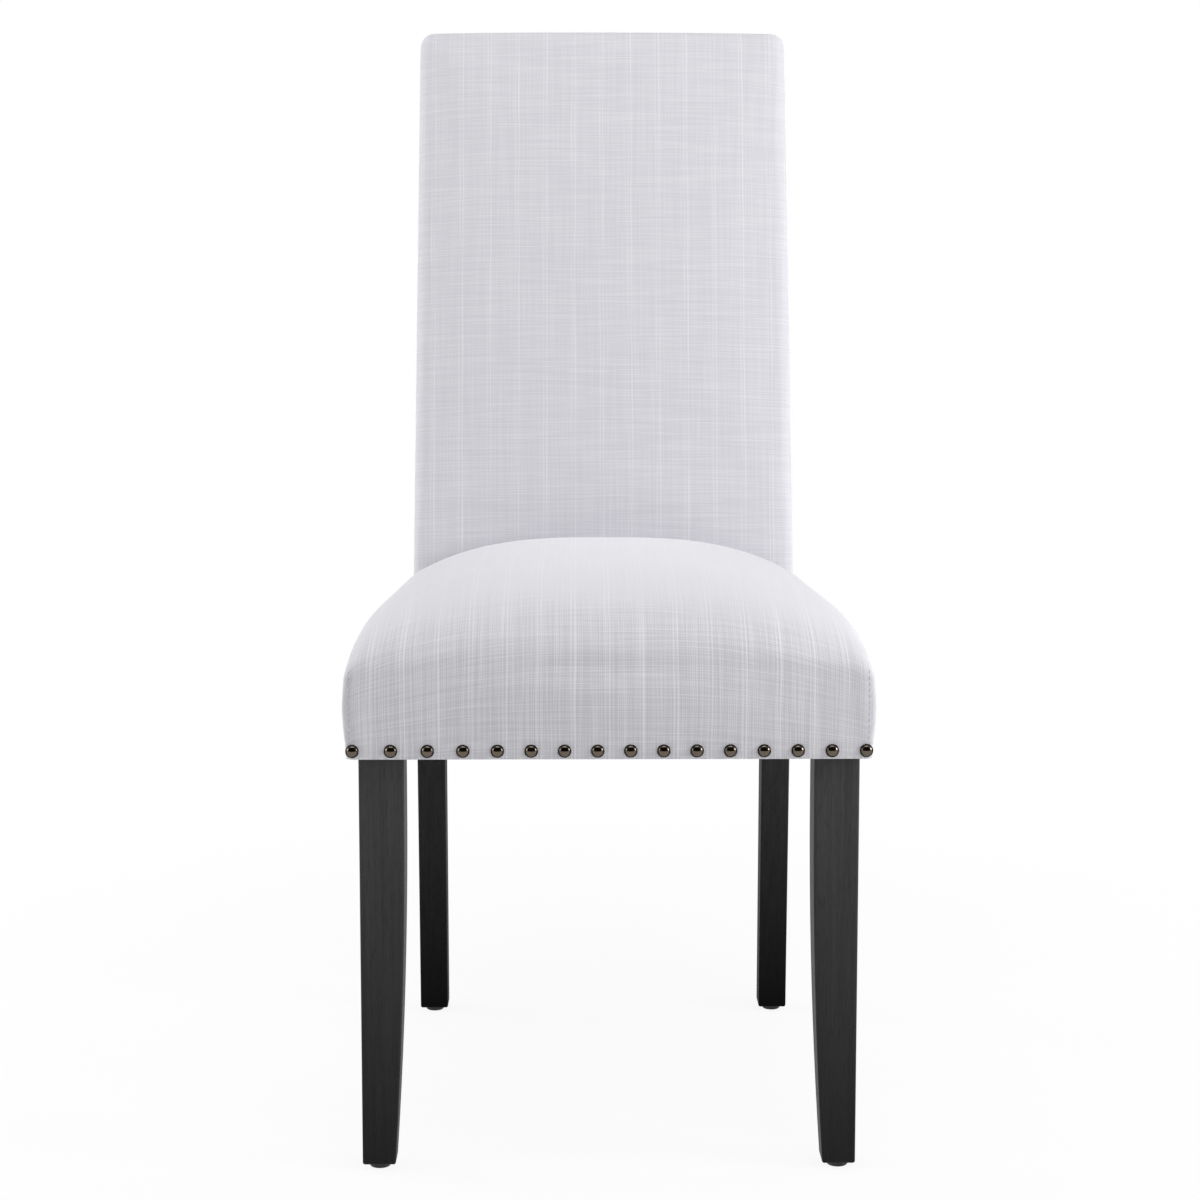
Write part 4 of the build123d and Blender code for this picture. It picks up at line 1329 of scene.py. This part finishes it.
    def seam_relief(self, points: np.ndarray) -> np.ndarray:
        """Depth of the sewn valleys up the front corners, between ridges that the seam's turnings raise.

        Args:
            points: Places of the vertices.

        Returns:
            Depth at each vertex, negative on the ridges.
        """
        height = points[:, 2]
        away = np.hypot(np.abs(points[:, 0]) - self.seam_place, points[:, 1] - self.front)
        pucker = 1 - self.pucker + self.pucker * np.sin(height / self.pucker_pitch * 2 * math.pi)
        top = self.underside + self.edge_rise - self.front_drop
        run = 1.0 - smooth_step(height, *(top + rise for rise in self.seam_head))
        run *= smooth_step(height, *(self.underside + rise for rise in self.seam_foot))
        ridge = self.seam_bulk * ring_depths(away, self.bulk_width)
        return (self.seam_depth * ring_depths(away, self.seam_width) * pucker - ridge) * run

    @property
    def seam_place(self) -> float:
        """Distance of the front corner seams from the seat's middle."""
        return self.front_width / 2 - self.corner_radius

    def close_round_frame(self, bm: BMesh, patch: list[BMFace]) -> None:
        """Turn the cover under the rails and run the pad's inside up the rails and over the deck.

        Args:
            bm: The cover, closed below by a flat patch.
            patch: Faces of that patch.
        """
        thickness = self.cloth_thickness
        slant = self.hem * (1 - math.sqrt(0.5))
        cloth = ((slant, slant), (self.hem, 0.0), (self.turn_in, 0.0), (self.turn_in, thickness),
                 (thickness, thickness))
        padding = ((thickness, self.rail_rise), (self.deck_inset, self.rail_rise),
                   (self.deck_inset, self.deck_rise))
        ring = Ring.round_patch(bm, patch)
        for inset, rise in cloth + padding:
            ring.grow(0 if (inset, rise) in cloth else 1)
            for vertex, place in ring.home.items():
                depth = place.y - self.front
                inner = inset + depth * (self.depth - 2 * inset) / self.depth
                share = (self.front_width / 2 - self.slope * inner - inset) / (
                    self.front_width / 2 - self.slope * depth)
                vertex.co = (place.x * share, self.front + inner, self.underside + rise)
        ring.close(1)


@dataclass
class BackPad(CoveredPad):
    """Back padding and cover: front, sides and top as one cloth over a leaning, crowned form."""

    name: str = "back_pad"
    cover: Finish = LINEN
    nodes: tuple[str, str] = ("back_cover", "back_foam")
    opening: Panel = Panel.REAR
    pressure: float = 0.24
    fill: float = 0.9
    half_width: float = 190.5 * MM
    narrowing: float = 4.0 * MM
    length: float = 586.0 * MM
    bend_rise: float = 73.0 * MM
    lean: float = math.radians(12.5)
    cover_room: float = 2.3 * MM
    front_padding: float = 16.6 * MM
    crown: float = 9.0 * MM
    crown_power: float = 2.0
    top_crown: float = 3.0 * MM
    crown_run: float = 170.0 * MM
    shoulder: float = 15.0 * MM
    foot_shoulder: float = 3.0 * MM
    fullness: float = 0.8 * MM
    band: float = 6.0 * MM
    post_depth: float = 44.0 * MM
    post_top_depth: float = 32.0 * MM
    wood_length: float = 574.7 * MM
    rear_padding: float = 9.9 * MM
    top_roll: float = 13.0 * MM
    top_turn: float = math.radians(68)
    top_bulge: float = 2.5 * MM
    weft_bow: float = 3.0 * MM
    heel: float = 7.0 * MM
    margin: float = 9.0 * MM
    cloth_thickness: float = 2.0 * MM
    clearance: float = 0.3 * MM
    seat_dip: float = 50.0 * MM
    cell: float = 7.0 * MM
    front_steps: int = 800
    roll_steps: int = 81
    rear_steps: int = 400

    def __post_init__(self) -> None:
        """Take the back's place from the frame."""
        low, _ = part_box("back_cover")
        self.post_face = low.y + self.cover_room
        self.underside = low.z
        self.bend = self.underside + self.bend_rise
        self.ramp_length = (self.front_padding + self.crown - self.cover_room) / math.tan(self.lean)

    def cells(self) -> tuple[int, int, int]:
        """Cells of cloth across, deep and high.

        Returns:
            The three counts, an even one across.
        """
        deep = round((self.post_depth + self.rear_padding) / self.cell)
        high = round((self.length + self.bend_rise) / self.cell)
        return 2 * round(self.half_width / self.cell), deep, high

    def point(self, across: np.ndarray, station: np.ndarray, forward: np.ndarray) -> np.ndarray:
        """Places on the bent back.

        Args:
            across: Distances to the right of the middle.
            station: Distances up the posts' front from the bend, negative below it.
            forward: Distances forward from the posts' front.

        Returns:
            The points.
        """
        across, station, forward = np.broadcast_arrays(across, station, forward)
        above = np.maximum(station, 0.0)
        below = np.minimum(station, 0.0)
        tilt = self.lean / 2 * (np.clip(1 + station / self.bend_rise, 0, 1)
                                + smooth_step(station, 0.0, self.ramp_length))
        y = self.post_face + above * math.sin(self.lean) - forward * np.cos(tilt)
        z = self.bend + below + above * math.cos(self.lean) + forward * np.sin(tilt)
        return np.stack([across, y, z], axis=-1)

    def rear_at(self, station: np.ndarray) -> np.ndarray:
        """Distance from the posts' front back to the outside of the cover."""
        taper = (self.post_depth - self.post_top_depth) / self.wood_length
        return self.post_depth - taper * np.maximum(station, 0.0) + self.rear_padding

    def half_width_at(self, station: np.ndarray) -> np.ndarray:
        """Half the width of the back, which narrows towards the top."""
        return self.half_width - self.narrowing * np.maximum(station, 0.0) / self.length

    def front_levels(self, station: float, drawn: float) -> tuple[float, float, float]:
        """Where the front's shoulders start, their radius and the crown between them.

        Args:
            station: Distance up the posts' front from the bend.
            drawn: How far the section is drawn in, where the top rolls over.

        Returns:
            Forward distance of the shoulders' start, their radius and the crown.
        """
        ramp = min(1.0, max(0.0, station) / self.ramp_length)
        fall = float(roll_fall(self.length - station, self.crown_run))
        crown = ramp * (self.crown - (self.crown - self.top_crown) * fall)
        front = self.cover_room + (self.front_padding - self.cover_room) * ramp
        shoulder = self.foot_shoulder + (self.shoulder - self.foot_shoulder) * ramp
        return front - shoulder, shoulder - drawn, crown

    def rows(self, count: int) -> tuple[np.ndarray, np.ndarray]:
        """Stations of the cloth's rows, evenly spaced up the front and into the roll of the top.

        Args:
            count: Number of cells up the back.

        Returns:
            Stations, and how far the section is drawn in at each.
        """
        straight = np.linspace(-self.bend_rise, self.length - self.top_roll, self.front_steps)
        turn = np.linspace(0.0, self.top_turn, self.roll_steps)[1:]
        stations = np.concatenate([straight, self.length - self.top_roll * (1 - np.sin(turn))])
        drawn = np.concatenate([np.zeros(len(straight)), self.top_roll * (1 - np.cos(turn))])
        forward = np.array([sum(self.front_levels(s, d)) for s, d in zip(stations, drawn)])
        run = run_lengths(self.point(0.0, stations, forward))
        wanted = np.linspace(0.0, run[-1], count + 1)
        return np.interp(wanted, run, stations), np.interp(wanted, run, drawn)

    def sections(self, cells: tuple[int, int, int]) -> tuple[np.ndarray, np.ndarray]:
        """Sections across the back at every row.

        Args:
            cells: Cells across, deep and high.

        Returns:
            Right side points over levels from the front and rows, and front points over columns and rows.
        """
        across, deep, high = cells
        sides, fronts = [], []
        for station, drawn in zip(*self.rows(high)):
            edge, shoulder, crown = self.front_levels(station, drawn)
            rear = max(drawn, self.heel) - float(self.rear_at(station))
            side, front = crowned_half(
                float(self.half_width_at(station)) - drawn, rear, rear + self.band, edge, shoulder, crown,
                self.crown_power, self.fullness, deep, across // 2)
            full = mirror_row(front)
            sides.append(self.point(side[::-1, 0], station, side[::-1, 1]))
            fronts.append(self.point(full[:, 0], station, full[:, 1]))
        return np.array(sides).transpose(1, 0, 2), np.array(fronts).transpose(1, 0, 2)

    def end_cap(self, side: np.ndarray, front: np.ndarray, bulge: float) -> np.ndarray:
        """Top or foot of the back, between its front and rear edges.

        Args:
            side: Right edge of the face, from front to rear.
            front: Front edge of the face, from left to right.
            bulge: How far the middle of the face stands up.

        Returns:
            Points over columns and levels from the front.
        """
        share = np.linspace(0.0, 1.0, len(side))
        across = front[:, 0] / front[-1, 0]
        grid = np.zeros((len(front), len(side), 3))
        grid[..., 0] = across[:, None] * side[None, :, 0]
        stand = (front[:, 1:] - front[-1, 1:])[:, None]
        grid[..., 1:] = side[None, :, 1:] + stand * (1 - share)[None, :, None]
        swell = bulge * (1 - across[:, None] ** 4) * np.sin(math.pi * share[None, :]) ** 2
        grid[..., 1] += swell * math.sin(self.lean)
        grid[..., 2] += swell * math.cos(self.lean)
        return grid

    def grids(self, cells: tuple[int, int, int]) -> dict[Panel, np.ndarray]:
        """Points of every panel's grid.

        Args:
            cells: Cells across, deep and high.

        Returns:
            Points over each panel's first and second direction.
        """
        sides, fronts = self.sections(cells)
        rear = np.repeat(sides[-1:], len(fronts), axis=0)
        rear[..., 0] *= fronts[..., 0] / fronts[-1:, :, 0]
        return {Panel.LOW: self.end_cap(sides[:, 0], fronts[:, 0], 0.0), Panel.REAR: rear,
                Panel.TOP: self.end_cap(sides[:, -1], fronts[:, -1], self.top_bulge),
                Panel.LEFT: sides * MIRRORED, Panel.RIGHT: sides, Panel.FRONT: fronts}

    def cloth_maps(self, grids: dict[Panel, np.ndarray]) -> dict[Panel, np.ndarray]:
        """Flat cloth of the cover: one piece over front, sides and top.

        Args:
            grids: Points of every panel's grid.

        Returns:
            Places on the flat cloth for each panel.
        """
        fronts, top = grids[Panel.FRONT], grids[Panel.TOP]
        columns = run_lengths(fronts, axis=0)
        columns = columns - columns[len(fronts) // 2]
        # Pulled round the sides, the weft drops a little towards both edges.
        bow = self.weft_bow * (fronts[..., 0] / fronts[-1:, :, 0]) ** 4
        rows = run_lengths(fronts, axis=1) + bow
        wrap = run_lengths(grids[Panel.RIGHT], axis=0)
        return {Panel.FRONT: on_cloth(columns, rows),
                Panel.RIGHT: on_cloth(columns[-1][None] + wrap, rows[-1][None]),
                Panel.LEFT: on_cloth(columns[0][None] - wrap, rows[0][None]),
                Panel.TOP: on_cloth(top[..., 0], rows[:, -1:] + run_lengths(top, axis=1)),
                Panel.LOW: grids[Panel.LOW][..., :2], Panel.REAR: grids[Panel.REAR][..., [0, 2]]}

    def tacked(self, form: PaddedForm, points: np.ndarray) -> np.ndarray:
        """Vertices that stay put: rear, foot, the tight sides and what the seat is bolted against.

        Args:
            form: The pad's grid.
            points: Places of its vertices.

        Returns:
            Their indices.
        """
        _, seat_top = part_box("seat_cover")
        hidden = seat_top.z - self.seat_dip * (points[:, 0] / self.half_width) ** 2
        behind_seat = np.intersect1d(form.on(Panel.FRONT), np.flatnonzero(points[:, 2] < hidden))
        tight = [form.on(panel) for panel in (Panel.REAR, Panel.LOW, Panel.LEFT, Panel.RIGHT)]
        return np.unique(np.concatenate([*tight, behind_seat]))

    def stations_of(self, places: np.ndarray) -> np.ndarray:
        """Stations of places on the outside of the back, from their heights.

        Args:
            places: The points.

        Returns:
            Distances up the posts' front from the bend.
        """
        stations = np.linspace(-self.bend_rise, self.length, self.rear_steps)
        heights = self.point(0.0, stations, self.heel - self.rear_at(stations))[:, 2]
        return np.interp(places[:, 2], heights, stations)

    def close_round_frame(self, bm: BMesh, patch: list[BMFace]) -> None:
        """Turn the cover in behind and run the pad's inside forward along the posts to their front.

        Args:
            bm: The cover, closed behind by a patch of faces.
            patch: Faces of that patch.
        """
        bottom, top = -self.bend_rise, self.length
        head = top - self.wood_length - self.clearance
        skin = self.cloth_thickness
        slant = self.heel * (1 - math.sqrt(0.5))
        cloth = ((slant, slant, slant), (self.heel, self.heel, 0.0), (self.margin, self.margin, 0.0),
                 (self.margin, self.margin, skin), (skin, head, skin))
        ring = Ring.round_patch(bm, patch)
        for side, crest, forward in cloth + ((skin, head, None),):
            ring.grow(1 if forward is None else 0)
            places = np.array(list(ring.home.values()))
            share = (self.stations_of(places) - bottom) / (top - bottom)
            station = bottom + side + share * (top - bottom - side - crest)
            across = places[:, 0] * (1 - side / self.half_width)
            depth = self.clearance if forward is None else forward - self.rear_at(station)
            set_points(ring.home, self.point(across, station, depth))
        ring.close(1, self.bend)


@dataclass
class OutsideBack:
    """Outside of the back: cloth over wadding, sewn into the cover's turned edge."""

    back: BackPad
    name: str = "outside_back_pad"
    depth: float = 6.3 * MM
    puff: float = 1.6 * MM
    edge_roll: float = 8.0 * MM
    edge_fall: float = 2.3 * MM
    underlap: float = 1.5 * MM
    pressure: float = 0.22
    most_swell: float = 3.0 * MM
    fill: float = 0.7
    cell: float = 7.0 * MM

    def stretched(self) -> tuple[Object, np.ndarray]:
        """Cloth laid over the wadding, before it swells.

        Returns:
            The cloth, and each vertex's distance from its edge.
        """
        back = self.back
        margin = back.margin - self.underlap
        low, top = margin - back.bend_rise, back.length - margin
        bm = bmesh.new()
        bmesh.ops.create_grid(bm, x_segments=round(2 * back.half_width / self.cell),
                              y_segments=round((back.length + back.bend_rise) / self.cell), size=1.0)
        unit = np.array([v.co for v in bm.verts])[:, :2]
        station = low + (unit[:, 1] + 1) / 2 * (top - low)
        half = back.half_width_at(station) - margin
        edge = np.minimum((1 - np.abs(unit[:, 0])) * half, (1 - np.abs(unit[:, 1])) * (top - low) / 2)
        fall = roll_fall(edge, self.edge_roll)
        forward = self.edge_fall * fall - self.puff * (1 - fall) - back.rear_at(station)
        layer = bm.loops.layers.uv.new(WEAVE_MAP)
        for face in bm.faces:
            for loop in face.loops:
                index = loop.vert.index
                loop[layer].uv = (unit[index, 0] * half[index], station[index])
        set_points(bm.verts, back.point(unit[:, 0] * half, station, forward))
        face_towards(bm, Vector((0.0, 1.0, 0.0)))
        return new_object(self.name, bm), edge

    def build(self) -> Object:
        """Model the panel, swell it and close it against the board.

        Returns:
            The finished piece.
        """
        back = self.back
        obj, edge = self.stretched()
        CoverCloth(self.pressure, self.most_swell).swell(obj, np.flatnonzero(edge < self.cell / 2))
        bm = subdivided(obj)
        edges = [e for e in bm.edges if e.is_boundary]
        ring = Ring(bm, edges, {v: v.co.copy() for e in edges for v in e.verts})
        ring.grow(0)
        places = np.array(list(ring.home.values()))
        station = back.stations_of(places)
        set_points(ring.home, back.point(places[:, 0], station, self.depth - back.rear_at(station)))
        ring.close(0, back.bend)
        pad = new_object(self.name, bm, LINEN)
        declare(pad, LINEN_SLOT, "back_cover_rear_panel", "back_rear_wadding")
        return pad


@dataclass
class DustCover:
    """Black cloth stapled under the seat, cut out round the front legs, sagging a little."""

    seat: SeatPad
    inset: float = 13.0 * MM
    thickness: float = 0.8 * MM
    sag: float = 3.0 * MM
    leg_gap: float = 0.5 * MM
    seat_gap: float = 0.1 * MM
    cell: float = 8.0 * MM
    leg_cells: int = 5

    def build(self) -> Object:
        """Cut, stretch and staple the cloth.

        Returns:
            The finished piece.
        """
        seat = self.seat
        low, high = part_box("right_front_leg")
        notch_x = low.x - self.leg_gap
        notch_y = high.y + self.leg_gap
        front, rear = seat.front + self.inset, seat.rear - self.inset
        columns = 2 * round(notch_x / self.cell) + 2 * self.leg_cells
        front_rows = round((notch_y - front) / self.cell)
        rows = front_rows + round((rear - notch_y) / self.cell)
        share_x = self.leg_cells * 2 / columns
        share_y = front_rows * 2 / rows - 1
        bm = bmesh.new()
        bmesh.ops.create_grid(bm, x_segments=columns, y_segments=rows, size=1.0)
        for vertex in bm.verts:
            unit = vertex.co.copy()
            y = float(np.interp(unit.y, (-1.0, share_y, 1.0), (front, notch_y, rear)))
            edge = seat.front_width / 2 - seat.slope * (y - seat.front) - self.inset
            x = float(np.interp(abs(unit.x), (0.0, 1 - share_x, 1.0), (0.0, notch_x, max(edge, notch_x))))
            hang = self.sag * (1 - unit.x ** 2) * (1 - unit.y ** 2)
            vertex.co = (math.copysign(x, unit.x), y, seat.underside - self.seat_gap - hang)
        notches = [f for f in bm.faces if abs(f.calc_center_median().x) > notch_x
                   and f.calc_center_median().y < notch_y]
        bmesh.ops.delete(bm, geom=notches, context="FACES")
        area = sum(f.calc_area() for f in bm.faces)
        face_towards(bm, Vector((0.0, 0.0, -1.0)))
        bmesh.ops.solidify(bm, geom=bm.faces, thickness=self.thickness)
        bmesh.ops.recalc_face_normals(bm, faces=bm.faces)
        obj = new_object("dust_sheet", bm, FELT)
        declare(obj, "dust_cover_cloth", "dust_cover")
        return obj


@dataclass
class NailRows:
    """Round-headed upholstery nails along the seat's lower edge, each turned as one piece with its shank."""

    seat: SeatPad
    head_radius: float = 5.5 * MM
    head_rise: float = 3.6 * MM
    rim_rise: float = 0.7 * MM
    rim_swell: float = 0.1 * MM
    rim_undercut: float = 0.3 * MM
    neck: float = 0.1 * MM
    shank_radius: float = 0.9 * MM
    shank_length: float = 12.0 * MM
    tip: float = 2.0 * MM
    dome_steps: int = 9
    facets: int = 32

    def build(self) -> list[Object]:
        """Turn every row of nails.

        Returns:
            The rows, each one piece.
        """
        slope = self.seat.slope
        facing = (Vector((0.0, -1.0, 0.0)), Vector((-1.0, slope, 0.0)), Vector((1.0, slope, 0.0)))
        return [self.row(node, outward.normalized()) for node, outward in zip(NAIL_NODES, facing)]

    def row(self, node: str, outward: Vector) -> Object:
        """Turn one row of nails where the frame has them.

        Args:
            node: The frame's nails.
            outward: Direction that their heads face.

        Returns:
            The row.
        """
        bm = bmesh.new()
        rise = bm.verts.layers.float.new(RISE)
        for centre in loose_centres(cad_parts[node].data):
            self.turn_nail(bm, rise, self.foot(Vector(centre), outward), outward)
        bmesh.ops.recalc_face_normals(bm, faces=bm.faces)
        obj = new_object(node.replace("nailheads", "nails"), bm, BRONZE)
        declare(obj, "aged_bronze", node)
        return obj

    def foot(self, centre: Vector, outward: Vector) -> Vector:
        """Point on the cover that a nail is driven into.

        Args:
            centre: Middle of the nail.
            outward: Direction that its head faces.

        Returns:
            The point.
        """
        seat = self.seat
        edge = Vector((math.copysign(seat.front_width / 2, outward.x), seat.front, centre.z))
        plane = edge if outward.x else Vector((0.0, seat.front, centre.z))
        return centre + outward * (plane - centre).dot(outward)

    def turn_nail(self, bm: BMesh, rise: BMLayerItem, foot: Vector,
                  outward: Vector) -> None:
        """Turn one nail about its axis.

        Args:
            bm: The row that gets the nail.
            rise: Layer that keeps how far up the head a vertex lies, 0 at the cloth and 1 on top.
            foot: Point on the cover that the nail is driven into.
            outward: Direction that its head faces.
        """
        dome = self.head_rise - self.rim_rise
        radius = (self.head_radius ** 2 + dome ** 2) / (2 * dome)
        angles = np.linspace(0.0, math.asin(self.head_radius / radius), self.dome_steps + 1)
        profile = [(radius * math.sin(angle), self.head_rise - radius * (1 - math.cos(angle)))
                   for angle in angles]
        profile += [(self.head_radius + self.rim_swell, self.rim_rise / 2),
                    (self.head_radius - self.rim_undercut, 0.0), (self.shank_radius, self.neck),
                    (self.shank_radius, -self.shank_length), (0.0, -self.shank_length - self.tip)]
        side = outward.orthogonal().normalized()
        line = [bm.verts.new(foot + side * across + outward * up) for across, up in profile]
        for vertex, (_, up) in zip(line, profile):
            vertex[rise] = max(0.0, up / self.head_rise)
        edges = [bm.edges.new(pair) for pair in zip(line, line[1:])]
        bmesh.ops.spin(bm, geom=line + edges, cent=foot, axis=outward, angle=2 * math.pi,
                       steps=self.facets, use_merge=True)
        poles = [v for v in bm.verts if ((v.co - foot).cross(outward)).length < SAME_PLACE]
        bmesh.ops.remove_doubles(bm, verts=poles, dist=SAME_PLACE)


@dataclass
class CornerStitches:
    """Stitches that show in the sewn valleys up the seat's front corners."""

    seat: SeatPad
    pad: Object
    pitch: float = 5.0 * MM
    length: float = 3.2 * MM
    thread: float = 0.45 * MM
    foot: float = 18.0 * MM
    head: float = 74.0 * MM
    approach: float = 100.0 * MM
    facets: tuple[int, int] = (12, 8)

    def build(self) -> Object:
        """Lay a row of stitches in each valley.

        Returns:
            The finished piece.
        """
        seat = self.seat
        round_facets, long_facets = self.facets
        size = Matrix.Diagonal((self.thread, self.thread, self.length / 2, 1.0))
        bm = bmesh.new()
        for across in (-seat.seam_place, seat.seam_place):
            for rise in np.arange(self.foot, self.head, self.pitch):
                start = Vector((across, seat.front - self.approach, seat.underside + float(rise)))
                _, place, normal, _ = self.pad.ray_cast(start, Vector((0.0, 1.0, 0.0)))
                along = (Vector((0.0, 0.0, 1.0)) - normal * normal.z).normalized()
                turn = Matrix((along.cross(normal), normal, along)).transposed().to_4x4()
                bmesh.ops.create_uvsphere(bm, u_segments=round_facets, v_segments=long_facets, radius=1.0,
                                          matrix=Matrix.Translation(place) @ turn @ size)
        stitches = new_object("corner_stitches", bm, SEAM_THREAD)
        declare(stitches, LINEN_SLOT)
        return stitches


@dataclass(frozen=True)
class SoftBox:
    """Square lamp with an even face."""

    name: str
    place: tuple[float, float, float]
    size: float
    power: float
    mirrored: bool = True

    def hang(self, target: Vector) -> None:
        """Hang the lamp so that it points at the target.

        Args:
            target: Point that it lights.
        """
        data = bpy.data.lights.new(self.name, "AREA")
        data.size = self.size
        data.energy = self.power
        lamp = bpy.data.objects.new(self.name, data)
        lamp.location = self.place
        lamp.rotation_euler = (target - Vector(self.place)).to_track_quat("-Z", "Y").to_euler()
        lamp.visible_glossy = self.mirrored
        bpy.context.scene.collection.objects.link(lamp)


def seen_rays(add: AddNode) -> Node:
    """Rays that show the room as it is seen, by the camera, in gloss and through glass.

    Args:
        add: Function that adds a node to the room's floor or world.

    Returns:
        1 for such a ray and 0 for one that lights the chair.
    """
    rays = add("LightPath")
    seen: Any = rays.outputs["Is Camera Ray"]
    for kind in ("Is Glossy Ray", "Is Transmission Ray"):
        seen = add("Math", {0: seen, 1: rays.outputs[kind]}, operation="MAXIMUM")
    return seen


@dataclass
class Studio:
    """White studio: soft boxes on both sides and behind, with a weaker key and an overhead light."""

    lens: float = 72.95
    sensor: float = 36.0
    shift: float = -0.04
    eye: tuple[float, float, float] = (-0.02703, -2.27925, 0.74984)
    pitch: float = 6.356
    turn: float = -0.554
    floor_size: float = 30.0
    floor_tone: str = "#F0F0F0"
    shadow_share: float = 0.1
    shadow_reach: tuple[float, float] = (0.4, 1.3)
    flag_size: tuple[float, float] = (10.0, 5.4)
    flag_place: float = -3.2
    white: tuple[float, float, float, float] = (1.0, 1.0, 1.0, 1.0)
    room_light: float = 0.16
    target: tuple[float, float, float] = (0.0, 0.0, 0.55)
    lamps: tuple[SoftBox, ...] = (
        SoftBox("key", (1.5, -2.8, 1.5), 2.2, 25.0, mirrored=False),
        SoftBox("overhead", (0.0, -0.7, 2.9), 2.0, 35.0),
        SoftBox("left_side", (-2.2, -0.8, 0.95), 0.8, 10.0),
        SoftBox("right_side", (2.2, -0.8, 0.95), 0.8, 26.0),
        SoftBox("left_rim", (-2.0, 0.5, 1.1), 1.2, 20.0),
        SoftBox("right_rim", (2.0, 0.8, 1.1), 1.2, 9.0),
        SoftBox("rear", (0.4, 3.0, 1.9), 2.0, 15.0),
    )

    def build(self) -> None:
        """Set the view, the camera, the floor, the world and the lamps."""
        bpy.context.scene.view_settings.view_transform = "Standard"
        self.add_camera()
        self.add_floor()
        self.add_flag()
        self.light_world()
        for lamp in self.lamps:
            lamp.hang(Vector(self.target))
        log.info("studio: %d lamps", len(self.lamps))

    def add_camera(self) -> None:
        """Stand the camera where the chair was seen from."""
        data = bpy.data.cameras.new("camera")
        data.lens = self.lens
        data.sensor_width = self.sensor
        data.shift_y = self.shift
        camera = bpy.data.objects.new("camera", data)
        camera.location = self.eye
        camera.rotation_euler = Euler((math.radians(90 - self.pitch), 0.0, math.radians(self.turn)))
        bpy.context.scene.collection.objects.link(camera)
        bpy.context.scene.camera = camera

    def light_world(self) -> None:
        """Light the room evenly, and show it as white to the camera and in reflections."""
        world = bpy.data.worlds.new("studio")
        add = fresh_nodes(world)
        room = add("Background", {"Color": self.white, "Strength": self.room_light})
        shown = add("Background", {"Color": self.white, "Strength": 1.0})
        add("OutputWorld", {"Surface": add("MixShader", {0: seen_rays(add), 1: room, 2: shown})})
        bpy.context.scene.world = world

    def add_flag(self) -> None:
        """Hang a dark cloth behind the camera, which shows only where polished metal mirrors it."""
        width, height = self.flag_size
        bm = bmesh.new()
        bmesh.ops.create_grid(bm, x_segments=1, y_segments=1, size=1.0)
        for vertex in bm.verts:
            vertex.co = (vertex.co.x * width / 2, self.flag_place, height * (vertex.co.y + 1) / 2)
        flag = new_object("studio_flag", bm, FLAG_CLOTH)
        flag.visible_camera = False

    def add_floor(self) -> None:
        """Lay a white floor that keeps the chair's shadow and fades into the white room."""
        bm = bmesh.new()
        bmesh.ops.create_grid(bm, x_segments=1, y_segments=1, size=self.floor_size / 2)
        floor = new_object("studio_floor", bm)
        material = bpy.data.materials.new("studio_floor")
        add = fresh_nodes(material)
        place = add("TexCoord").outputs["Object"]
        away = add("VectorMath", {0: place}, operation="LENGTH").outputs["Value"]
        near, far = self.shadow_reach
        fade = add("MapRange", {"Value": away, "From Min": near, "From Max": far,
                                "To Min": 1 - self.shadow_share, "To Max": 1.0},
                   interpolation_type="SMOOTHSTEP")
        share = add("Math", {0: seen_rays(add), 1: fade}, operation="MULTIPLY")
        paint = add("BsdfDiffuse", {"Color": linear(self.floor_tone)})
        glow = add("Emission", {"Color": self.white, "Strength": 1.0})
        add("OutputMaterial", {"Surface": add("MixShader", {0: share, 1: paint, 2: glow})})
        floor.data.materials.append(material)


def main() -> None:
    """Build the chair's pieces in order."""
    logging.basicConfig(level=logging.INFO, format="%(message)s")
    Studio().build()
    dress_nodes()
    seat = SeatPad()
    seat_pad = seat.build()
    back = BackPad()
    back.build()
    OutsideBack(back).build()
    DustCover(seat).build()
    NailRows(seat).build()
    CornerStitches(seat, seat_pad).build()


if __name__ == "__main__":
    main()
